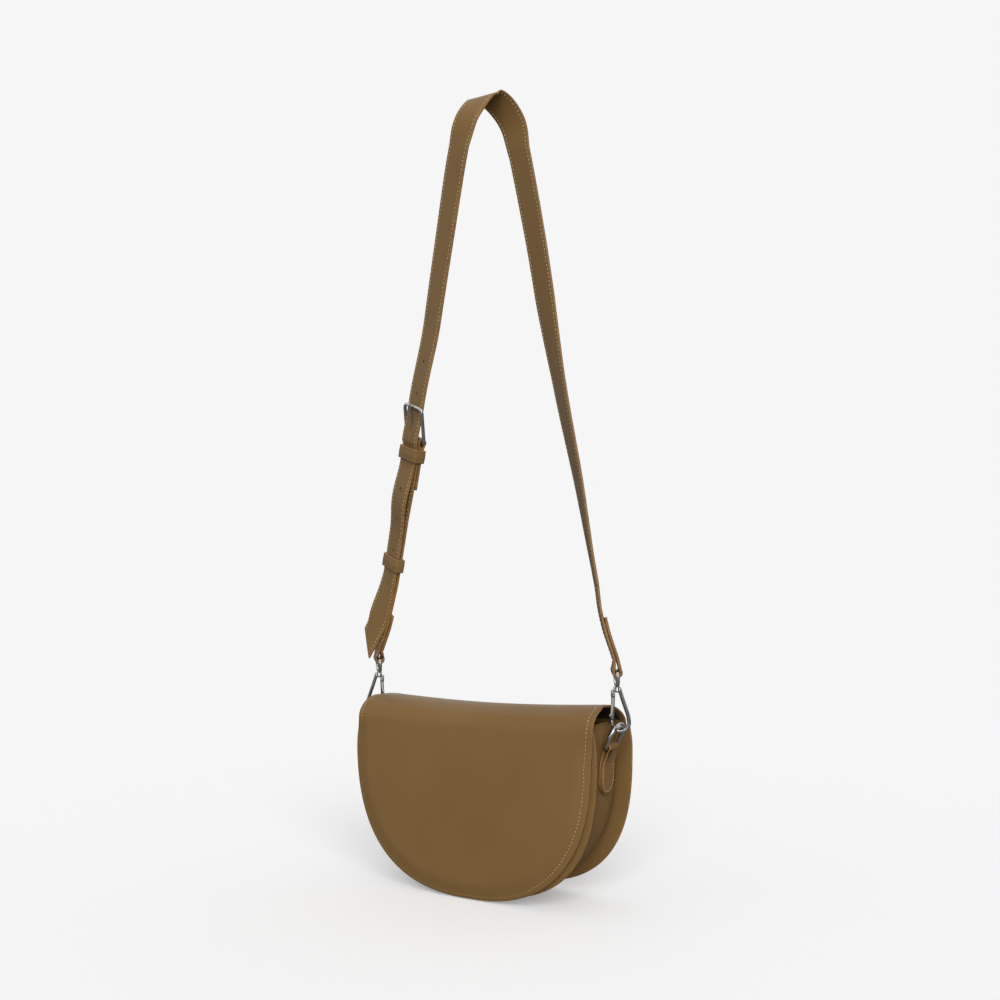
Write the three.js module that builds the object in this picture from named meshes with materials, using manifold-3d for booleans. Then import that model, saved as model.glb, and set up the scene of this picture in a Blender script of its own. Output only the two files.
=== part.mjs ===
// Half moon crossbody bag. Millimetres, +Z up, front of the bag towards -Y.
// The origin is under the crest of the strap, where the bag hangs.
import * as THREE from "three";
import Module from "manifold-3d";

const wasm = await Module();
wasm.setup();

// Body and flap
const BAG_W = 220; // widest width of the half moon
const BODY_H = 155.5; // level of zero down to the bottom of the body
const FLAP_DROP = 3; // how far the flap hangs below the body
const SIDE_DROP = 38.5; // level of zero down to the widest line
const TOP_TAPER = 10; // how much each side draws in towards the top
const ROUND_POWER = 2.46; // squareness of the flap's half moon
const BODY_POWER = 2.75; // squareness of the body's half moon
const FLAP_SHIFT = -3.5; // the flap's front hangs a little to the left
const BACK_Y = 33; // outer face of the back panel
const BODY_D = 63.5; // outer face of the front panel to that of the back
const LEATHER = 2;
const LINING = 0.6;
const ARCH_BASE = -20; // both ends of the flap's curve over the mouth
const ARCH_RISE = 17.5; // rise of that curve
const ARCH_PEAK = 25; // its peak behind the flap's front face
const ARCH_POWER = 2.4; // squareness of its front shoulder
const REAR_POWER = 2; // squareness of its rear fall
const FLAP_INSET = 5.5; // how far the flap over the mouth stands in from the widest width
const SPLIT_DEG = 52; // where the flap folds at the front shoulder
const FRONT_TOP = -14;
const FRONT_INSET = 0.4;
const GUSSET_T = 1.6;
const GUSSET_FRONT_INSET = 4.5;
const GUSSET_MID_INSET = 7.5;
const GUSSET_BACK_INSET = 14;
const GUSSET_FLANGE = 7;
const GUSSET_FLAT = 9; // half depth of its flat middle, under the tab
const POCKET_W = 130;
const POCKET_H = 78;
const POCKET_TOP = -42;

// Magnetic snap
const SNAP_R = 9;
const SNAP_UP = 33.5; // centre above the bottom of the body
const SNAP_DISC = 0.7;
const SNAP_RING = 2;
const SNAP_PLUG_R = 3.7;

// Tabs and rings
const TAB_W = 15;
const TAB_T = 1.6;
const TAB_END = -69;
const RING_WIRE = 1.6; // radius of the wire
const RING_INNER = 17.5;
const RING_H = 18.5; // bar to top, on the wire's centre line
const RING_LEAN = 24; // degrees outward
const LEFT_LEAN = 38; // the left ring lies further out
const RING_BAR_Z = -33;
const RING_BAR_OUT = 4.6; // bar centre outside the gusset face

// Swivel hooks
const HOOK_IN = 2.6; // post inside the top of the ring
const EYE_Z = 26.2;
const EYE_WIRE = 1.6;
const EYE_H = 9.5;
const POST_R = 1.3;
const COLLAR_R = 3;
const COLLAR_H = 4.5;
const CLAW_R = 1.6;
const BIGHT_R = 6.8;
const BIGHT_U = 2.9;
const HOOK_TURN = 31; // degrees the claw is turned about its post
const PIN_R = 0.8;

// Strap
const STRAP_W = 25;
const STRAP_T = 2.2;
const FOLD_LEN = 42;
const HEEL_S = 187; // hook eye up to the buckle's heel bar, along the strap
const TAIL_TIP_S = 8.5;
const TAIL_SKEW = 0.85;
const TAIL_TWIST = 24; // degrees at the loose end
const HOLE_R = 1.6;
const HOLE_PITCH = 27;
const BUCKLE_LEN = 29.4;
const BUCKLE_LEAN = 15; // degrees that its top bar stands out
const BUCKLE_WIRE = 1.5;
const PRONG_R = 1.15;
const KEEPER_LEN = 11;
const KEEPER_T = 1.6;
const KEEPER_TOP_S = HEEL_S - 17;
const KEEPER_LOW_S = 79;
const KEEPER_SLIDE = 18; // how far the lower keeper slides up

// Clearances
const GAP = 0.3; // between pieces that are sewn or set on each other
const HINGE_GAP = 0.6; // at the folds of the flap
const LAYER_GAP = 0.3; // between two layers of strap
const RUN = 0.1; // metal turning on metal
const PIN_RUN = 0.06;
const KEEPER_PLAY = 0.4;
const HOOK_SLACK = 1.2; // ring to the bottom of the claw
const PRONG_PLAY = 1;

// Strap crest and the arch over it, as offsets from the crest, then the turn and bank of the width
const CREST = [-7.3, -0.6, 491.1];
const ARCH = [
  [-9.6, -25.6, -44.6, 72.5, 0],
  [-4, -24.1, -23.6, 86, 9.2],
  [-0.6, -18.9, -13, 99.3, 11.6],
  [0.3, -8.5, -3.1, 103.6, 10.2],
  [0, 0, 0, 101.9, 9.5],
  [1.2, 5.6, 1.1, 99, 6.8],
  [6.7, 14.7, -5.3, 96, 7],
  [13, 21.6, -18.9, 87.7, 3.8],
  [19.4, 21.6, -43.6, 72.1, 0],
];

// Colours
const COLOURS = {
  leather: 0x7a5d39,
  lining: 0x8a7352,
  nickel: 0xc9c9c7,
};

const FRONT_Y = BACK_Y - BODY_D;
const SNAP_STACK = GAP + SNAP_RING + GAP + SNAP_DISC + GAP + LINING + GAP;
const FLAP_Y = FRONT_Y - SNAP_STACK - LEATHER;
const SNAP_Z = SNAP_UP - BODY_H;
const yIn = BACK_Y - LEATHER - GAP;
const yFrontIn = FRONT_Y + LEATHER + GAP;
const v3 = (x, y, z) => new THREE.Vector3(x, y, z);
const rad = THREE.MathUtils.degToRad;

// Solids

function solid(geometry) {
  const g = geometry.index ? geometry.toNonIndexed() : geometry;
  const p = g.getAttribute("position").array;
  const ids = new Map();
  const verts = [];
  const tris = [];
  for (let i = 0; i < p.length; i += 9) {
    const tri = [0, 3, 6].map((k) => {
      const at = [p[i + k], p[i + k + 1], p[i + k + 2]];
      const key = at.map((c) => Math.round(c * 2e4)).join();
      if (!ids.has(key)) {
        ids.set(key, verts.length / 3);
        verts.push(...at);
      }
      return ids.get(key);
    });
    if (new Set(tri).size === 3) tris.push(...tri);
  }
  let volume = 0;
  for (let i = 0; i < tris.length; i += 3) {
    const [a, b, c] = [0, 1, 2].map((k) => v3(...verts.slice(3 * tris[i + k], 3 * tris[i + k] + 3)));
    volume += a.dot(b.cross(c));
  }
  if (volume < 0) tris.reverse();
  return new wasm.Manifold(
    new wasm.Mesh({
      numProp: 3,
      vertProperties: new Float32Array(verts),
      triVerts: new Uint32Array(tris),
    }),
  );
}

function geometryOf(manifold) {
  const m = manifold.getMesh();
  const g = new THREE.BufferGeometry();
  g.setAttribute("position", new THREE.BufferAttribute(new Float32Array(m.vertProperties), 3));
  g.setIndex(new THREE.BufferAttribute(new Uint32Array(m.triVerts), 1));
  return g;
}

// A 2D outline moved along frames {o, a, b}: each point is o + a * p + b * q.
function sweep(frames, outline, closed = false) {
  const n = outline.length;
  const pos = [];
  const idx = [];
  for (const f of frames) {
    for (const [p, q] of outline) {
      const at = f.o.clone().addScaledVector(f.a, p).addScaledVector(f.b, q);
      if (f.skew) at.addScaledVector(f.t, f.skew * p);
      pos.push(at.x, at.y, at.z);
    }
  }
  const rows = closed ? frames.length : frames.length - 1;
  for (let r = 0; r < rows; r++) {
    const r2 = (r + 1) % frames.length;
    for (let i = 0; i < n; i++) {
      const j = (i + 1) % n;
      idx.push(r * n + i, r * n + j, r2 * n + j, r * n + i, r2 * n + j, r2 * n + i);
    }
  }
  if (!closed) {
    const contour = outline.map(([p, q]) => new THREE.Vector2(p, q));
    const flip = THREE.ShapeUtils.isClockWise(contour);
    const faces = THREE.ShapeUtils.triangulateShape(contour, []);
    const last = (frames.length - 1) * n;
    for (const [a, b, c] of faces) {
      const t = flip === THREE.ShapeUtils.isClockWise([contour[a], contour[b], contour[c]]) ? [a, b, c] : [a, c, b];
      idx.push(t[2], t[1], t[0], last + t[0], last + t[1], last + t[2]);
    }
  }
  const g = new THREE.BufferGeometry();
  g.setAttribute("position", new THREE.Float32BufferAttribute(pos, 3));
  g.setIndex(idx);
  return solid(g);
}

const circle = (r, n) =>
  Array.from({ length: n }, (_, i) => {
    const t = (2 * Math.PI * (i + 0.5)) / n;
    return [r * Math.cos(t), r * Math.sin(t)];
  });

function chamferedRect(w, h, r) {
  const [x, y] = [w / 2, h / 2];
  return [
    [x, -y + r],
    [x, y - r],
    [x - r, y],
    [-x + r, y],
    [-x, y - r],
    [-x, -y + r],
    [-x + r, -y],
    [x - r, -y],
  ];
}

// Frames along a flat path, with b kept square to the path's plane.
function flatFrames(points, normal, closed = false) {
  return points.map((o, i) => {
    const n = points.length;
    const next = points[closed ? (i + 1) % n : Math.min(i + 1, n - 1)];
    const prev = points[closed ? (i + n - 1) % n : Math.max(i - 1, 0)];
    const t = next.clone().sub(prev).normalize();
    const half = i > 0 || closed ? o.clone().sub(prev).normalize().dot(t) : 1;
    const a = t.clone().cross(normal).normalize().divideScalar(Math.max(half, 0.6));
    return { o, a, b: normal, t };
  });
}

// A plate: outline in x and z, from y0 to y1.
function plate(outline, y0, y1, holes = []) {
  const shape = new THREE.Shape(outline.map(([x, z]) => new THREE.Vector2(x, z)));
  for (const h of holes) shape.holes.push(new THREE.Path(h.map(([x, z]) => new THREE.Vector2(x, z))));
  const g = new THREE.ExtrudeGeometry(shape, { depth: y1 - y0, bevelEnabled: false, curveSegments: 12 });
  g.rotateX(Math.PI / 2).translate(0, y1, 0);
  return solid(g);
}

// A bar along x: outline in y and z, from x0 to x1.
function beam(outline, x0, x1) {
  const frames = [x0, x1].map((x) => ({ o: v3(x, 0, 0), a: v3(0, 1, 0), b: v3(0, 0, 1) }));
  return sweep(frames, outline);
}

function box(x0, x1, y0, y1, z0, z1) {
  const g = new THREE.BoxGeometry(x1 - x0, y1 - y0, z1 - z0);
  return solid(g.translate((x0 + x1) / 2, (y0 + y1) / 2, (z0 + z1) / 2));
}

// A round bar along z.
function rod(r, z0, z1, n = 20) {
  const g = new THREE.CylinderGeometry(r, r, z1 - z0, n);
  return solid(g.rotateX(Math.PI / 2).translate(0, 0, (z0 + z1) / 2));
}

// The half moon

const HALF_W = BAG_W / 2;
const FLAP_HALF = HALF_W - FLAP_INSET;

function halfMoon(inset, top, drop, power = ROUND_POWER) {
  const sweepH = BODY_H + drop - SIDE_DROP;
  const base = [];
  for (let i = 0; i < 6; i++) {
    const z = top + ((-SIDE_DROP - top) * i) / 6;
    const k = (z + SIDE_DROP) / SIDE_DROP;
    base.push([HALF_W - TOP_TAPER * k * k, z]);
  }
  const n = 44;
  for (let i = 0; i <= n; i++) {
    const t = (Math.PI * i) / n;
    const c = Math.cos(t);
    const x = HALF_W * Math.sign(c) * Math.abs(c) ** (2 / power);
    base.push([x, -SIDE_DROP - sweepH * Math.sin(t) ** (2 / power)]);
  }
  for (let i = 5; i >= 0; i--) base.push([-base[i][0], base[i][1]]);
  return base.map(([x, z], i) => {
    const a = base[Math.max(i - 1, 0)];
    const b = base[Math.min(i + 1, base.length - 1)];
    const d = Math.hypot(b[0] - a[0], b[1] - a[1]);
    const nx = (b[1] - a[1]) / d;
    const nz = -(b[0] - a[0]) / d;
    const flat = i === 0 || i === base.length - 1;
    const nrm = flat ? [-Math.sign(x), 0] : [nx, nz];
    return { x: x + nrm[0] * inset, z: z + nrm[1] * inset, n: nrm };
  });
}

const outlineOf = (moon) => moon.map((m) => [m.x, m.z]);

// The flap's curve over the mouth, outer face

const PEAK_Y = FLAP_Y + ARCH_PEAK;

function archPoint(deg) {
  const t = rad(deg);
  const c = Math.cos(t);
  const [reach, power] = c > 0 ? [FLAP_Y - PEAK_Y, ARCH_POWER] : [BACK_Y - PEAK_Y, REAR_POWER];
  const y = PEAK_Y + reach * Math.abs(c) ** (2 / power);
  return [y, ARCH_BASE + ARCH_RISE * Math.abs(Math.sin(t)) ** (2 / power)];
}

function archOffset(deg, depth) {
  const [y, z] = archPoint(deg);
  const a = archPoint(Math.max(deg - 0.5, 0));
  const b = archPoint(Math.min(deg + 0.5, 180));
  const d = Math.hypot(b[0] - a[0], b[1] - a[1]);
  return [y + ((b[1] - a[1]) / d) * depth, z - ((b[0] - a[0]) / d) * depth];
}

const degs = (from, to, n) => Array.from({ length: n + 1 }, (_, i) => from + ((to - from) * i) / n);
const archRun = (from, to, n, depth) => degs(from, to, n).map((d) => archOffset(d, depth));

function arc2(cy, cz, r, from, to, n) {
  return degs(from, to, n).map((d) => [cy + r * Math.cos(rad(d)), cz + r * Math.sin(rad(d))]);
}

const FOLD_AXIS = archOffset(SPLIT_DEG, LEATHER / 2);
let openDeg = SPLIT_DEG;
while (
  Math.hypot(
    archOffset(openDeg, LEATHER / 2)[0] - FOLD_AXIS[0],
    archOffset(openDeg, LEATHER / 2)[1] - FOLD_AXIS[1],
  ) < LEATHER / 2 + HINGE_GAP
) {
  openDeg += 0.1;
}
const foldDir = archOffset(SPLIT_DEG + 0.5, LEATHER / 2);
const foldAngle = THREE.MathUtils.radToDeg(Math.atan2(foldDir[1] - FOLD_AXIS[1], foldDir[0] - FOLD_AXIS[0]));

// Gusset face, half way across its depth
const GUSSET_TOP = FRONT_TOP;
const bodyMoon = (inset, top) => halfMoon(inset, top, 0, BODY_POWER);

function gussetX(z) {
  const moon = bodyMoon(GUSSET_MID_INSET, GUSSET_TOP).filter((m) => m.x > 0);
  for (let i = 1; i < moon.length; i++) {
    const [a, b] = [moon[i - 1], moon[i]];
    if (z <= a.z && z >= b.z) return a.x + ((b.x - a.x) * (a.z - z)) / (a.z - b.z);
  }
  return moon[0].x;
}

const RING_BAR_X = gussetX(RING_BAR_Z) + RING_BAR_OUT;
const RING_TOP_X = RING_BAR_X + RING_H * Math.sin(rad(RING_LEAN));
const HOOK_X = RING_TOP_X - HOOK_IN;
const LEFT_HOOK_X = RING_BAR_X + RING_H * Math.sin(rad(LEFT_LEAN)) - HOOK_IN;
const LEFT_EYE_Z = EYE_Z + RING_H * (Math.cos(rad(LEFT_LEAN)) - Math.cos(rad(RING_LEAN)));

// The strap's course, from the left hook eye over the crest to the right one

const crest = v3(...CREST);
const eyeL = v3(-LEFT_HOOK_X, 0, LEFT_EYE_Z);
const eyeR = v3(HOOK_X, 0, EYE_Z);
const archPts = ARCH.map(([x, y, z]) => crest.clone().add(v3(x, y, z)));
const legL = (k) => eyeL.clone().lerp(archPts[0], k);
const legR = (k) => eyeR.clone().lerp(archPts[archPts.length - 1], k);
const rise = (e, h) => e.clone().add(v3(0, 0, h));
const controls = [
  eyeL,
  rise(eyeL, 6),
  ...[0.07, 0.16, 0.3, 0.42, 0.52, 0.65, 0.82].map(legL),
  ...archPts,
  ...[0.82, 0.65, 0.5, 0.35, 0.2, 0.08].map(legR),
  rise(eyeR, 6),
  eyeR,
];
const curve = new THREE.CatmullRomCurve3(controls, false, "centripetal");
const course = [];
for (let i = 0; i <= 900; i++) {
  const p = curve.getPoint(i / 900);
  const s = i ? course[i - 1].s + p.distanceTo(course[i - 1].p) : 0;
  course.push({ p, s });
}
const COURSE_LEN = course[course.length - 1].s;

function courseAt(s) {
  if (s <= 0) return rise(eyeL, s);
  if (s >= COURSE_LEN) return rise(eyeR, COURSE_LEN - s);
  let k = 1;
  while (course[k].s < s) k++;
  const [a, b] = [course[k - 1], course[k]];
  return a.p.clone().lerp(b.p, (s - a.s) / (b.s - a.s));
}

const stationOf = (p) => course.reduce((m, c) => (c.p.distanceTo(p) < m.d ? { d: c.p.distanceTo(p), s: c.s } : m), { d: 1e9 }).s;
const TURNS = [
  [0, 40, 0],
  [70, 60, 0],
  [125, 61, 0],
  [147, 64, 0],
  [HEEL_S + 60, 64, 0],
  ...ARCH.map((a, i) => [stationOf(archPts[i]), a[3], a[4]]),
  [COURSE_LEN - 305, 67, 0],
  [COURSE_LEN - 205, 50, 0],
  [COURSE_LEN - 55, 33, 0],
  [COURSE_LEN, 30, 0],
];

// Turn and bank of the strap's width at s.
function turnAt(s) {
  if (s <= 0) return TURNS[0].slice(1);
  for (let i = 1; i < TURNS.length; i++) {
    const [a, b] = [TURNS[i - 1], TURNS[i]];
    const k = (s - a[0]) / (b[0] - a[0]);
    if (s <= b[0]) return [1, 2].map((j) => a[j] + (b[j] - a[j]) * k);
  }
  return TURNS[TURNS.length - 1].slice(1);
}

// Frame of the strap at s: t along it, w across it, n out of its outer face.
function strapFrame(s) {
  const o = courseAt(s);
  const t = courseAt(s + 1).sub(courseAt(s - 1)).normalize();
  const [f, b] = turnAt(s).map(rad);
  const w = v3(Math.sin(f) * Math.cos(b), -Math.cos(f) * Math.cos(b), Math.sin(b));
  w.addScaledVector(t, -w.dot(t)).normalize();
  const n = w.clone().cross(t);
  return { o, t, w, n };
}

const strapPoint = (s, off) => {
  const f = strapFrame(s);
  return f.o.addScaledVector(f.n, off);
};

// The loose tail turns its face away from the strap under it.
function tailTwist(s) {
  const k = Math.min(Math.max((KEEPER_LOW_S - 3 - s) / 42, 0), 1);
  return TAIL_TWIST * k * k * (3 - 2 * k);
}

// A ribbon through [s, off] points, as one strip.
function ribbon(points, skew = 0, twist = () => 0) {
  const at = points.map(([s, off]) => strapPoint(s, off));
  const frames = at.map((o, i) => {
    const w = strapFrame(points[i][0]).w;
    const t = at[Math.min(i + 1, at.length - 1)].clone().sub(at[Math.max(i - 1, 0)]).normalize();
    const a = w.clone().addScaledVector(t, -w.dot(t)).normalize().applyAxisAngle(t, rad(twist(points[i][0])));
    const b = a.clone().cross(t);
    return { o, a, b, t, skew: i === 0 ? -skew : 0 };
  });
  return sweep(frames, chamferedRect(STRAP_W, STRAP_T, 0.5));
}

const M = (STRAP_T + LAYER_GAP) / 2;
const EYE_LOOP = EYE_WIRE + GAP + STRAP_T / 2;
const HEEL_LOOP = BUCKLE_WIRE + GAP + STRAP_T / 2;
const TAIL_OFF = M + STRAP_T + KEEPER_PLAY;
const HEEL_OFF = HEEL_LOOP + STRAP_T + KEEPER_PLAY;
const leanSin = Math.sin(rad(BUCKLE_LEAN));
const leanCos = Math.cos(rad(BUCKLE_LEAN));
const UNDER_BAR = BUCKLE_WIRE + GAP + STRAP_T / 2;
const TOP_BAR_S = HEEL_S + BUCKLE_LEN * leanCos + UNDER_BAR * leanSin;
const TOP_BAR_OFF = BUCKLE_LEN * leanSin - UNDER_BAR * leanCos;

// The long strap's offset from the course: loose tail, keepers, over the heel, under the top bar
const LONG_OFF = [
  [TAIL_TIP_S, 19.7],
  [19, 17],
  [45, 10.2],
  [62, 6.2],
  [KEEPER_LOW_S - 2, TAIL_OFF],
  [KEEPER_LOW_S + KEEPER_LEN + KEEPER_SLIDE + 2, TAIL_OFF],
  [139, 5],
  [KEEPER_TOP_S - 2, TAIL_OFF],
  [KEEPER_TOP_S + KEEPER_LEN + 0.5, TAIL_OFF],
  [HEEL_S - 1, HEEL_OFF],
  [HEEL_S + 3, HEEL_OFF],
  [TOP_BAR_S - 2, TOP_BAR_OFF],
  [TOP_BAR_S + 3, TOP_BAR_OFF],
  [TOP_BAR_S + 70, 0],
  [COURSE_LEN - FOLD_LEN - 30, 0],
  [COURSE_LEN - FOLD_LEN - 6, -M],
];
const secant = (i) => (LONG_OFF[i + 1][1] - LONG_OFF[i][1]) / (LONG_OFF[i + 1][0] - LONG_OFF[i][0]);
const slopes = LONG_OFF.map((_, i) => {
  if (i === 0) return secant(0);
  if (i === LONG_OFF.length - 1) return 0;
  const [before, after] = [secant(i - 1), secant(i)];
  return before * after > 0 ? (2 * before * after) / (before + after) : 0;
});

function longOff(s) {
  for (let i = 1; i < LONG_OFF.length; i++) {
    const [a, b] = [LONG_OFF[i - 1], LONG_OFF[i]];
    if (s > b[0]) continue;
    const span = b[0] - a[0];
    const k = (s - a[0]) / span;
    const ease = k * k * (3 - 2 * k);
    const bend = span * k * (1 - k) * (slopes[i - 1] * (1 - k) - slopes[i] * k);
    return a[1] + (b[1] - a[1]) * ease + bend;
  }
  return -M;
}

// Loop round a bar at s0, from the side at angle 'from' to 'to', 0 being outward and 90 up.
const loop = (s0, r, from, to, n) =>
  degs(from, to, n).map((d) => [s0 + r * Math.sin(rad(d)), r * Math.cos(rad(d))]);

function longPath() {
  const pts = [];
  const add = (from, to, step) => {
    const n = Math.max(1, Math.round((to - from) / step));
    for (const s of degs(from, to, n)) if (!pts.length || s > pts[pts.length - 1][0] + 1e-6) pts.push([s, longOff(s)]);
  };
  const aL = stationOf(archPts[0]);
  const aR = stationOf(archPts[archPts.length - 1]);
  pts.push([TAIL_TIP_S, longOff(TAIL_TIP_S)]);
  add(TAIL_TIP_S + (STRAP_W * TAIL_SKEW) / 2 + 3, KEEPER_LOW_S - 3, 7);
  add(KEEPER_LOW_S - 3, HEEL_S - 7, 12);
  add(HEEL_S - 7, TOP_BAR_S + 3, 2.6);
  add(TOP_BAR_S + 3, aL - 30, 12);
  add(aL - 30, aR + 30, 5);
  add(aR + 30, COURSE_LEN - FOLD_LEN - 30, 13);
  add(COURSE_LEN - FOLD_LEN - 30, COURSE_LEN - 9, 6);
  pts.push(...loop(COURSE_LEN, EYE_LOOP, 205, -25, 10));
  pts.push([COURSE_LEN - 9, M], [COURSE_LEN - 20, M], [COURSE_LEN - 31, M], [COURSE_LEN - FOLD_LEN, M]);
  return pts;
}

function shortPath() {
  const run = (from, to, off, step) => degs(from, to, Math.max(1, Math.round(Math.abs(to - from) / step))).map((s) => [s, off]);
  return [
    ...run(HEEL_S - 40, HEEL_S - 6, -M, 11),
    ...loop(HEEL_S, HEEL_LOOP, 205, -25, 10),
    ...run(HEEL_S - 6, 9, M, 11),
    ...loop(0, EYE_LOOP, 25, -205, 10),
    ...run(9, FOLD_LEN, -M, 11),
  ];
}

// Buckle

const flat = strapFrame(HEEL_S + BUCKLE_LEN / 2);
const heel = {
  w: flat.w,
  t: flat.t.clone().multiplyScalar(leanCos).addScaledVector(flat.n, leanSin),
  n: flat.n.clone().multiplyScalar(leanCos).addScaledVector(flat.t, -leanSin),
};
const heelAt = (w, s, n) =>
  strapFrame(HEEL_S).o.addScaledVector(heel.w, w).addScaledVector(heel.t, s).addScaledVector(heel.n, n);

function cornerLoop(hw, z0, z1, r, n) {
  const pts = [];
  const corners = [[hw - r, z1 - r, 0], [-hw + r, z1 - r, 90], [-hw + r, z0 + r, 180], [hw - r, z0 + r, 270]];
  for (const [x, z, a] of corners) {
    for (const d of degs(a, a + 90, n)) pts.push([x + r * Math.cos(rad(d)), z + r * Math.sin(rad(d))]);
  }
  return pts;
}

function makeBuckle() {
  const hw = STRAP_W / 2 + 1 + BUCKLE_WIRE;
  const pts = cornerLoop(hw, 0, BUCKLE_LEN, 4, 4).map(([w, s]) => heelAt(w, s, 0));
  return sweep(flatFrames(pts, heel.n, true), circle(BUCKLE_WIRE, 10), true);
}

const PRONG_RING = BUCKLE_WIRE + RUN + PRONG_R;
const PRONG_TOP = BUCKLE_WIRE + RUN + PRONG_R;

function prongBar(r) {
  const pts = [
    [2.2, 1.4],
    [6, 1.75],
    [14, 2.15],
    [22, 2.5],
    [BUCKLE_LEN, PRONG_TOP],
    [BUCKLE_LEN + 3, PRONG_TOP],
  ].map(([s, n]) => heelAt(0, s, n));
  return sweep(flatFrames(pts, heel.w), circle(r, 10));
}

function makeProng() {
  const pts = degs(0, 345, 15).map((d) =>
    heelAt(0, PRONG_RING * Math.sin(rad(d)), PRONG_RING * Math.cos(rad(d))),
  );
  return sweep(flatFrames(pts, heel.w, true), circle(PRONG_R, 10), true).add(prongBar(PRONG_R));
}

function keeper(s0, n0, n1) {
  const hw = STRAP_W / 2 + KEEPER_PLAY;
  const mid = (n0 + n1) / 2;
  const hn = (n1 - n0) / 2 + KEEPER_PLAY;
  const frames = [s0, s0 + KEEPER_LEN / 2, s0 + KEEPER_LEN].map((s) => {
    const f = strapFrame(s0 + KEEPER_LEN / 2);
    return { o: f.o.clone().addScaledVector(f.t, s - s0 - KEEPER_LEN / 2).addScaledVector(f.n, mid), a: f.w, b: f.n };
  });
  const outer = sweep(frames, chamferedRect(2 * (hw + KEEPER_T), 2 * (hn + KEEPER_T), 1.4));
  const ends = [frames[0], frames[2]].map((f, i) => ({
    ...f,
    o: f.o.clone().addScaledVector(strapFrame(s0 + KEEPER_LEN / 2).t, i ? 2 : -2),
  }));
  return outer.subtract(sweep(ends, chamferedRect(2 * hw, 2 * hn, 0.6)));
}

function makeStrapLong() {
  let s = ribbon(longPath(), TAIL_SKEW, tailTwist).subtract(prongBar(PRONG_R + PRONG_PLAY));
  const prongS = HEEL_S + 12;
  for (const k of [2, 1, -1, -2, -3, -4, -5]) {
    const at = prongS + k * HOLE_PITCH;
    const f = strapFrame(at);
    const p0 = f.o.clone().addScaledVector(f.n, longOff(at) - 2.5);
    const p1 = f.o.clone().addScaledVector(f.n, longOff(at) + 2.5);
    s = s.subtract(sweep([p0, p1].map((o) => ({ o, a: f.w, b: f.t })), circle(HOLE_R, 12)));
  }
  return s;
}

function makeStrapShort() {
  const slot = [-9, 6].map((s) => ({ o: heelAt(0, s, 0), a: heel.w, b: heel.n }));
  return ribbon(shortPath()).subtract(sweep(slot, chamferedRect(2 * PRONG_R + 2, 12, 0.8)));
}

// Hooks: built about the post with the eye's bar at z = 0, u outward

const COLLAR_TOP = -(EYE_H + EYE_WIRE + 0.5);
const COLLAR_BOTTOM = COLLAR_TOP - COLLAR_H;
const RING_TOP_Z = RING_BAR_Z + RING_H * Math.cos(rad(RING_LEAN));
const BIGHT_Z = RING_TOP_Z - RING_WIRE - CLAW_R - HOOK_SLACK - EYE_Z + BIGHT_R;
const NOSE_U = BIGHT_U - BIGHT_R;
const PIN_U = -2.7;
const PIN_Z = COLLAR_BOTTOM - 2.6;
const GATE_END = BIGHT_Z + 1 + CLAW_R + GAP;
const HEAD_R = POST_R + 0.7; // rivet head of the post, sunk in the collar
const HEAD_TOP = COLLAR_BOTTOM + 1.7;
const GATE_U = NOSE_U + 0.4; // the gate's free end, over the nose

function makeEye() {
  const hw = STRAP_W / 2 + 0.6 + EYE_WIRE;
  const pts = cornerLoop(hw, -EYE_H, 0, 3, 4).map(([x, z]) => v3(x, 0, z));
  return sweep(flatFrames(pts, v3(0, 1, 0), true), circle(EYE_WIRE, 10), true)
    .add(rod(POST_R, COLLAR_BOTTOM, -EYE_H))
    .add(rod(HEAD_R, COLLAR_BOTTOM - 0.4, HEAD_TOP));
}

function makeClaw() {
  const top = COLLAR_BOTTOM + 2.2;
  const path = [[2.3, top], [3.4, top - 4], [5.4, top - 10], [7.5, top - 16], [9.1, top - 21]];
  path.push(...degs(0, -180, 12).map((d) => [BIGHT_U + BIGHT_R * Math.cos(rad(d)), BIGHT_Z + BIGHT_R * Math.sin(rad(d))]));
  path.push([NOSE_U, BIGHT_Z + 1]);
  const pts = path.map(([u, z]) => v3(u, 0, z));
  const frames = flatFrames(pts, v3(0, 1, 0));
  const tip = frames[frames.length - 1];
  frames.push({ ...tip, o: tip.o.clone().add(v3(0, 0, 1)), a: tip.a.clone().multiplyScalar(0.8), b: tip.b.clone().multiplyScalar(0.8) });
  frames.push({ ...tip, o: tip.o.clone().add(v3(0, 0, CLAW_R)), a: tip.a.clone().multiplyScalar(0.3), b: tip.b.clone().multiplyScalar(0.3) });
  const cheek = (y0, y1) =>
    box(PIN_U - 1.6, PIN_U + 1.2, y0, y1, PIN_Z - 1.6, COLLAR_BOTTOM + 1.5)
      .add(box(PIN_U - 1.6, -0.2, y0, y1, COLLAR_BOTTOM, COLLAR_BOTTOM + 1.5));
  const pinHole = rod(PIN_R + 0.02, -4, 4).rotate([90, 0, 0]).translate([PIN_U, 0, PIN_Z]);
  return rod(COLLAR_R, COLLAR_BOTTOM, COLLAR_TOP)
    .add(sweep(frames, circle(CLAW_R, 10)))
    .add(cheek(1.6, 2.6))
    .add(cheek(-2.6, -1.6))
    .subtract(rod(POST_R + RUN, COLLAR_BOTTOM - 1, COLLAR_TOP + 1))
    .subtract(rod(HEAD_R + RUN, COLLAR_BOTTOM - 2.2, HEAD_TOP + 3 * RUN))
    .subtract(pinHole);
}

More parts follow.
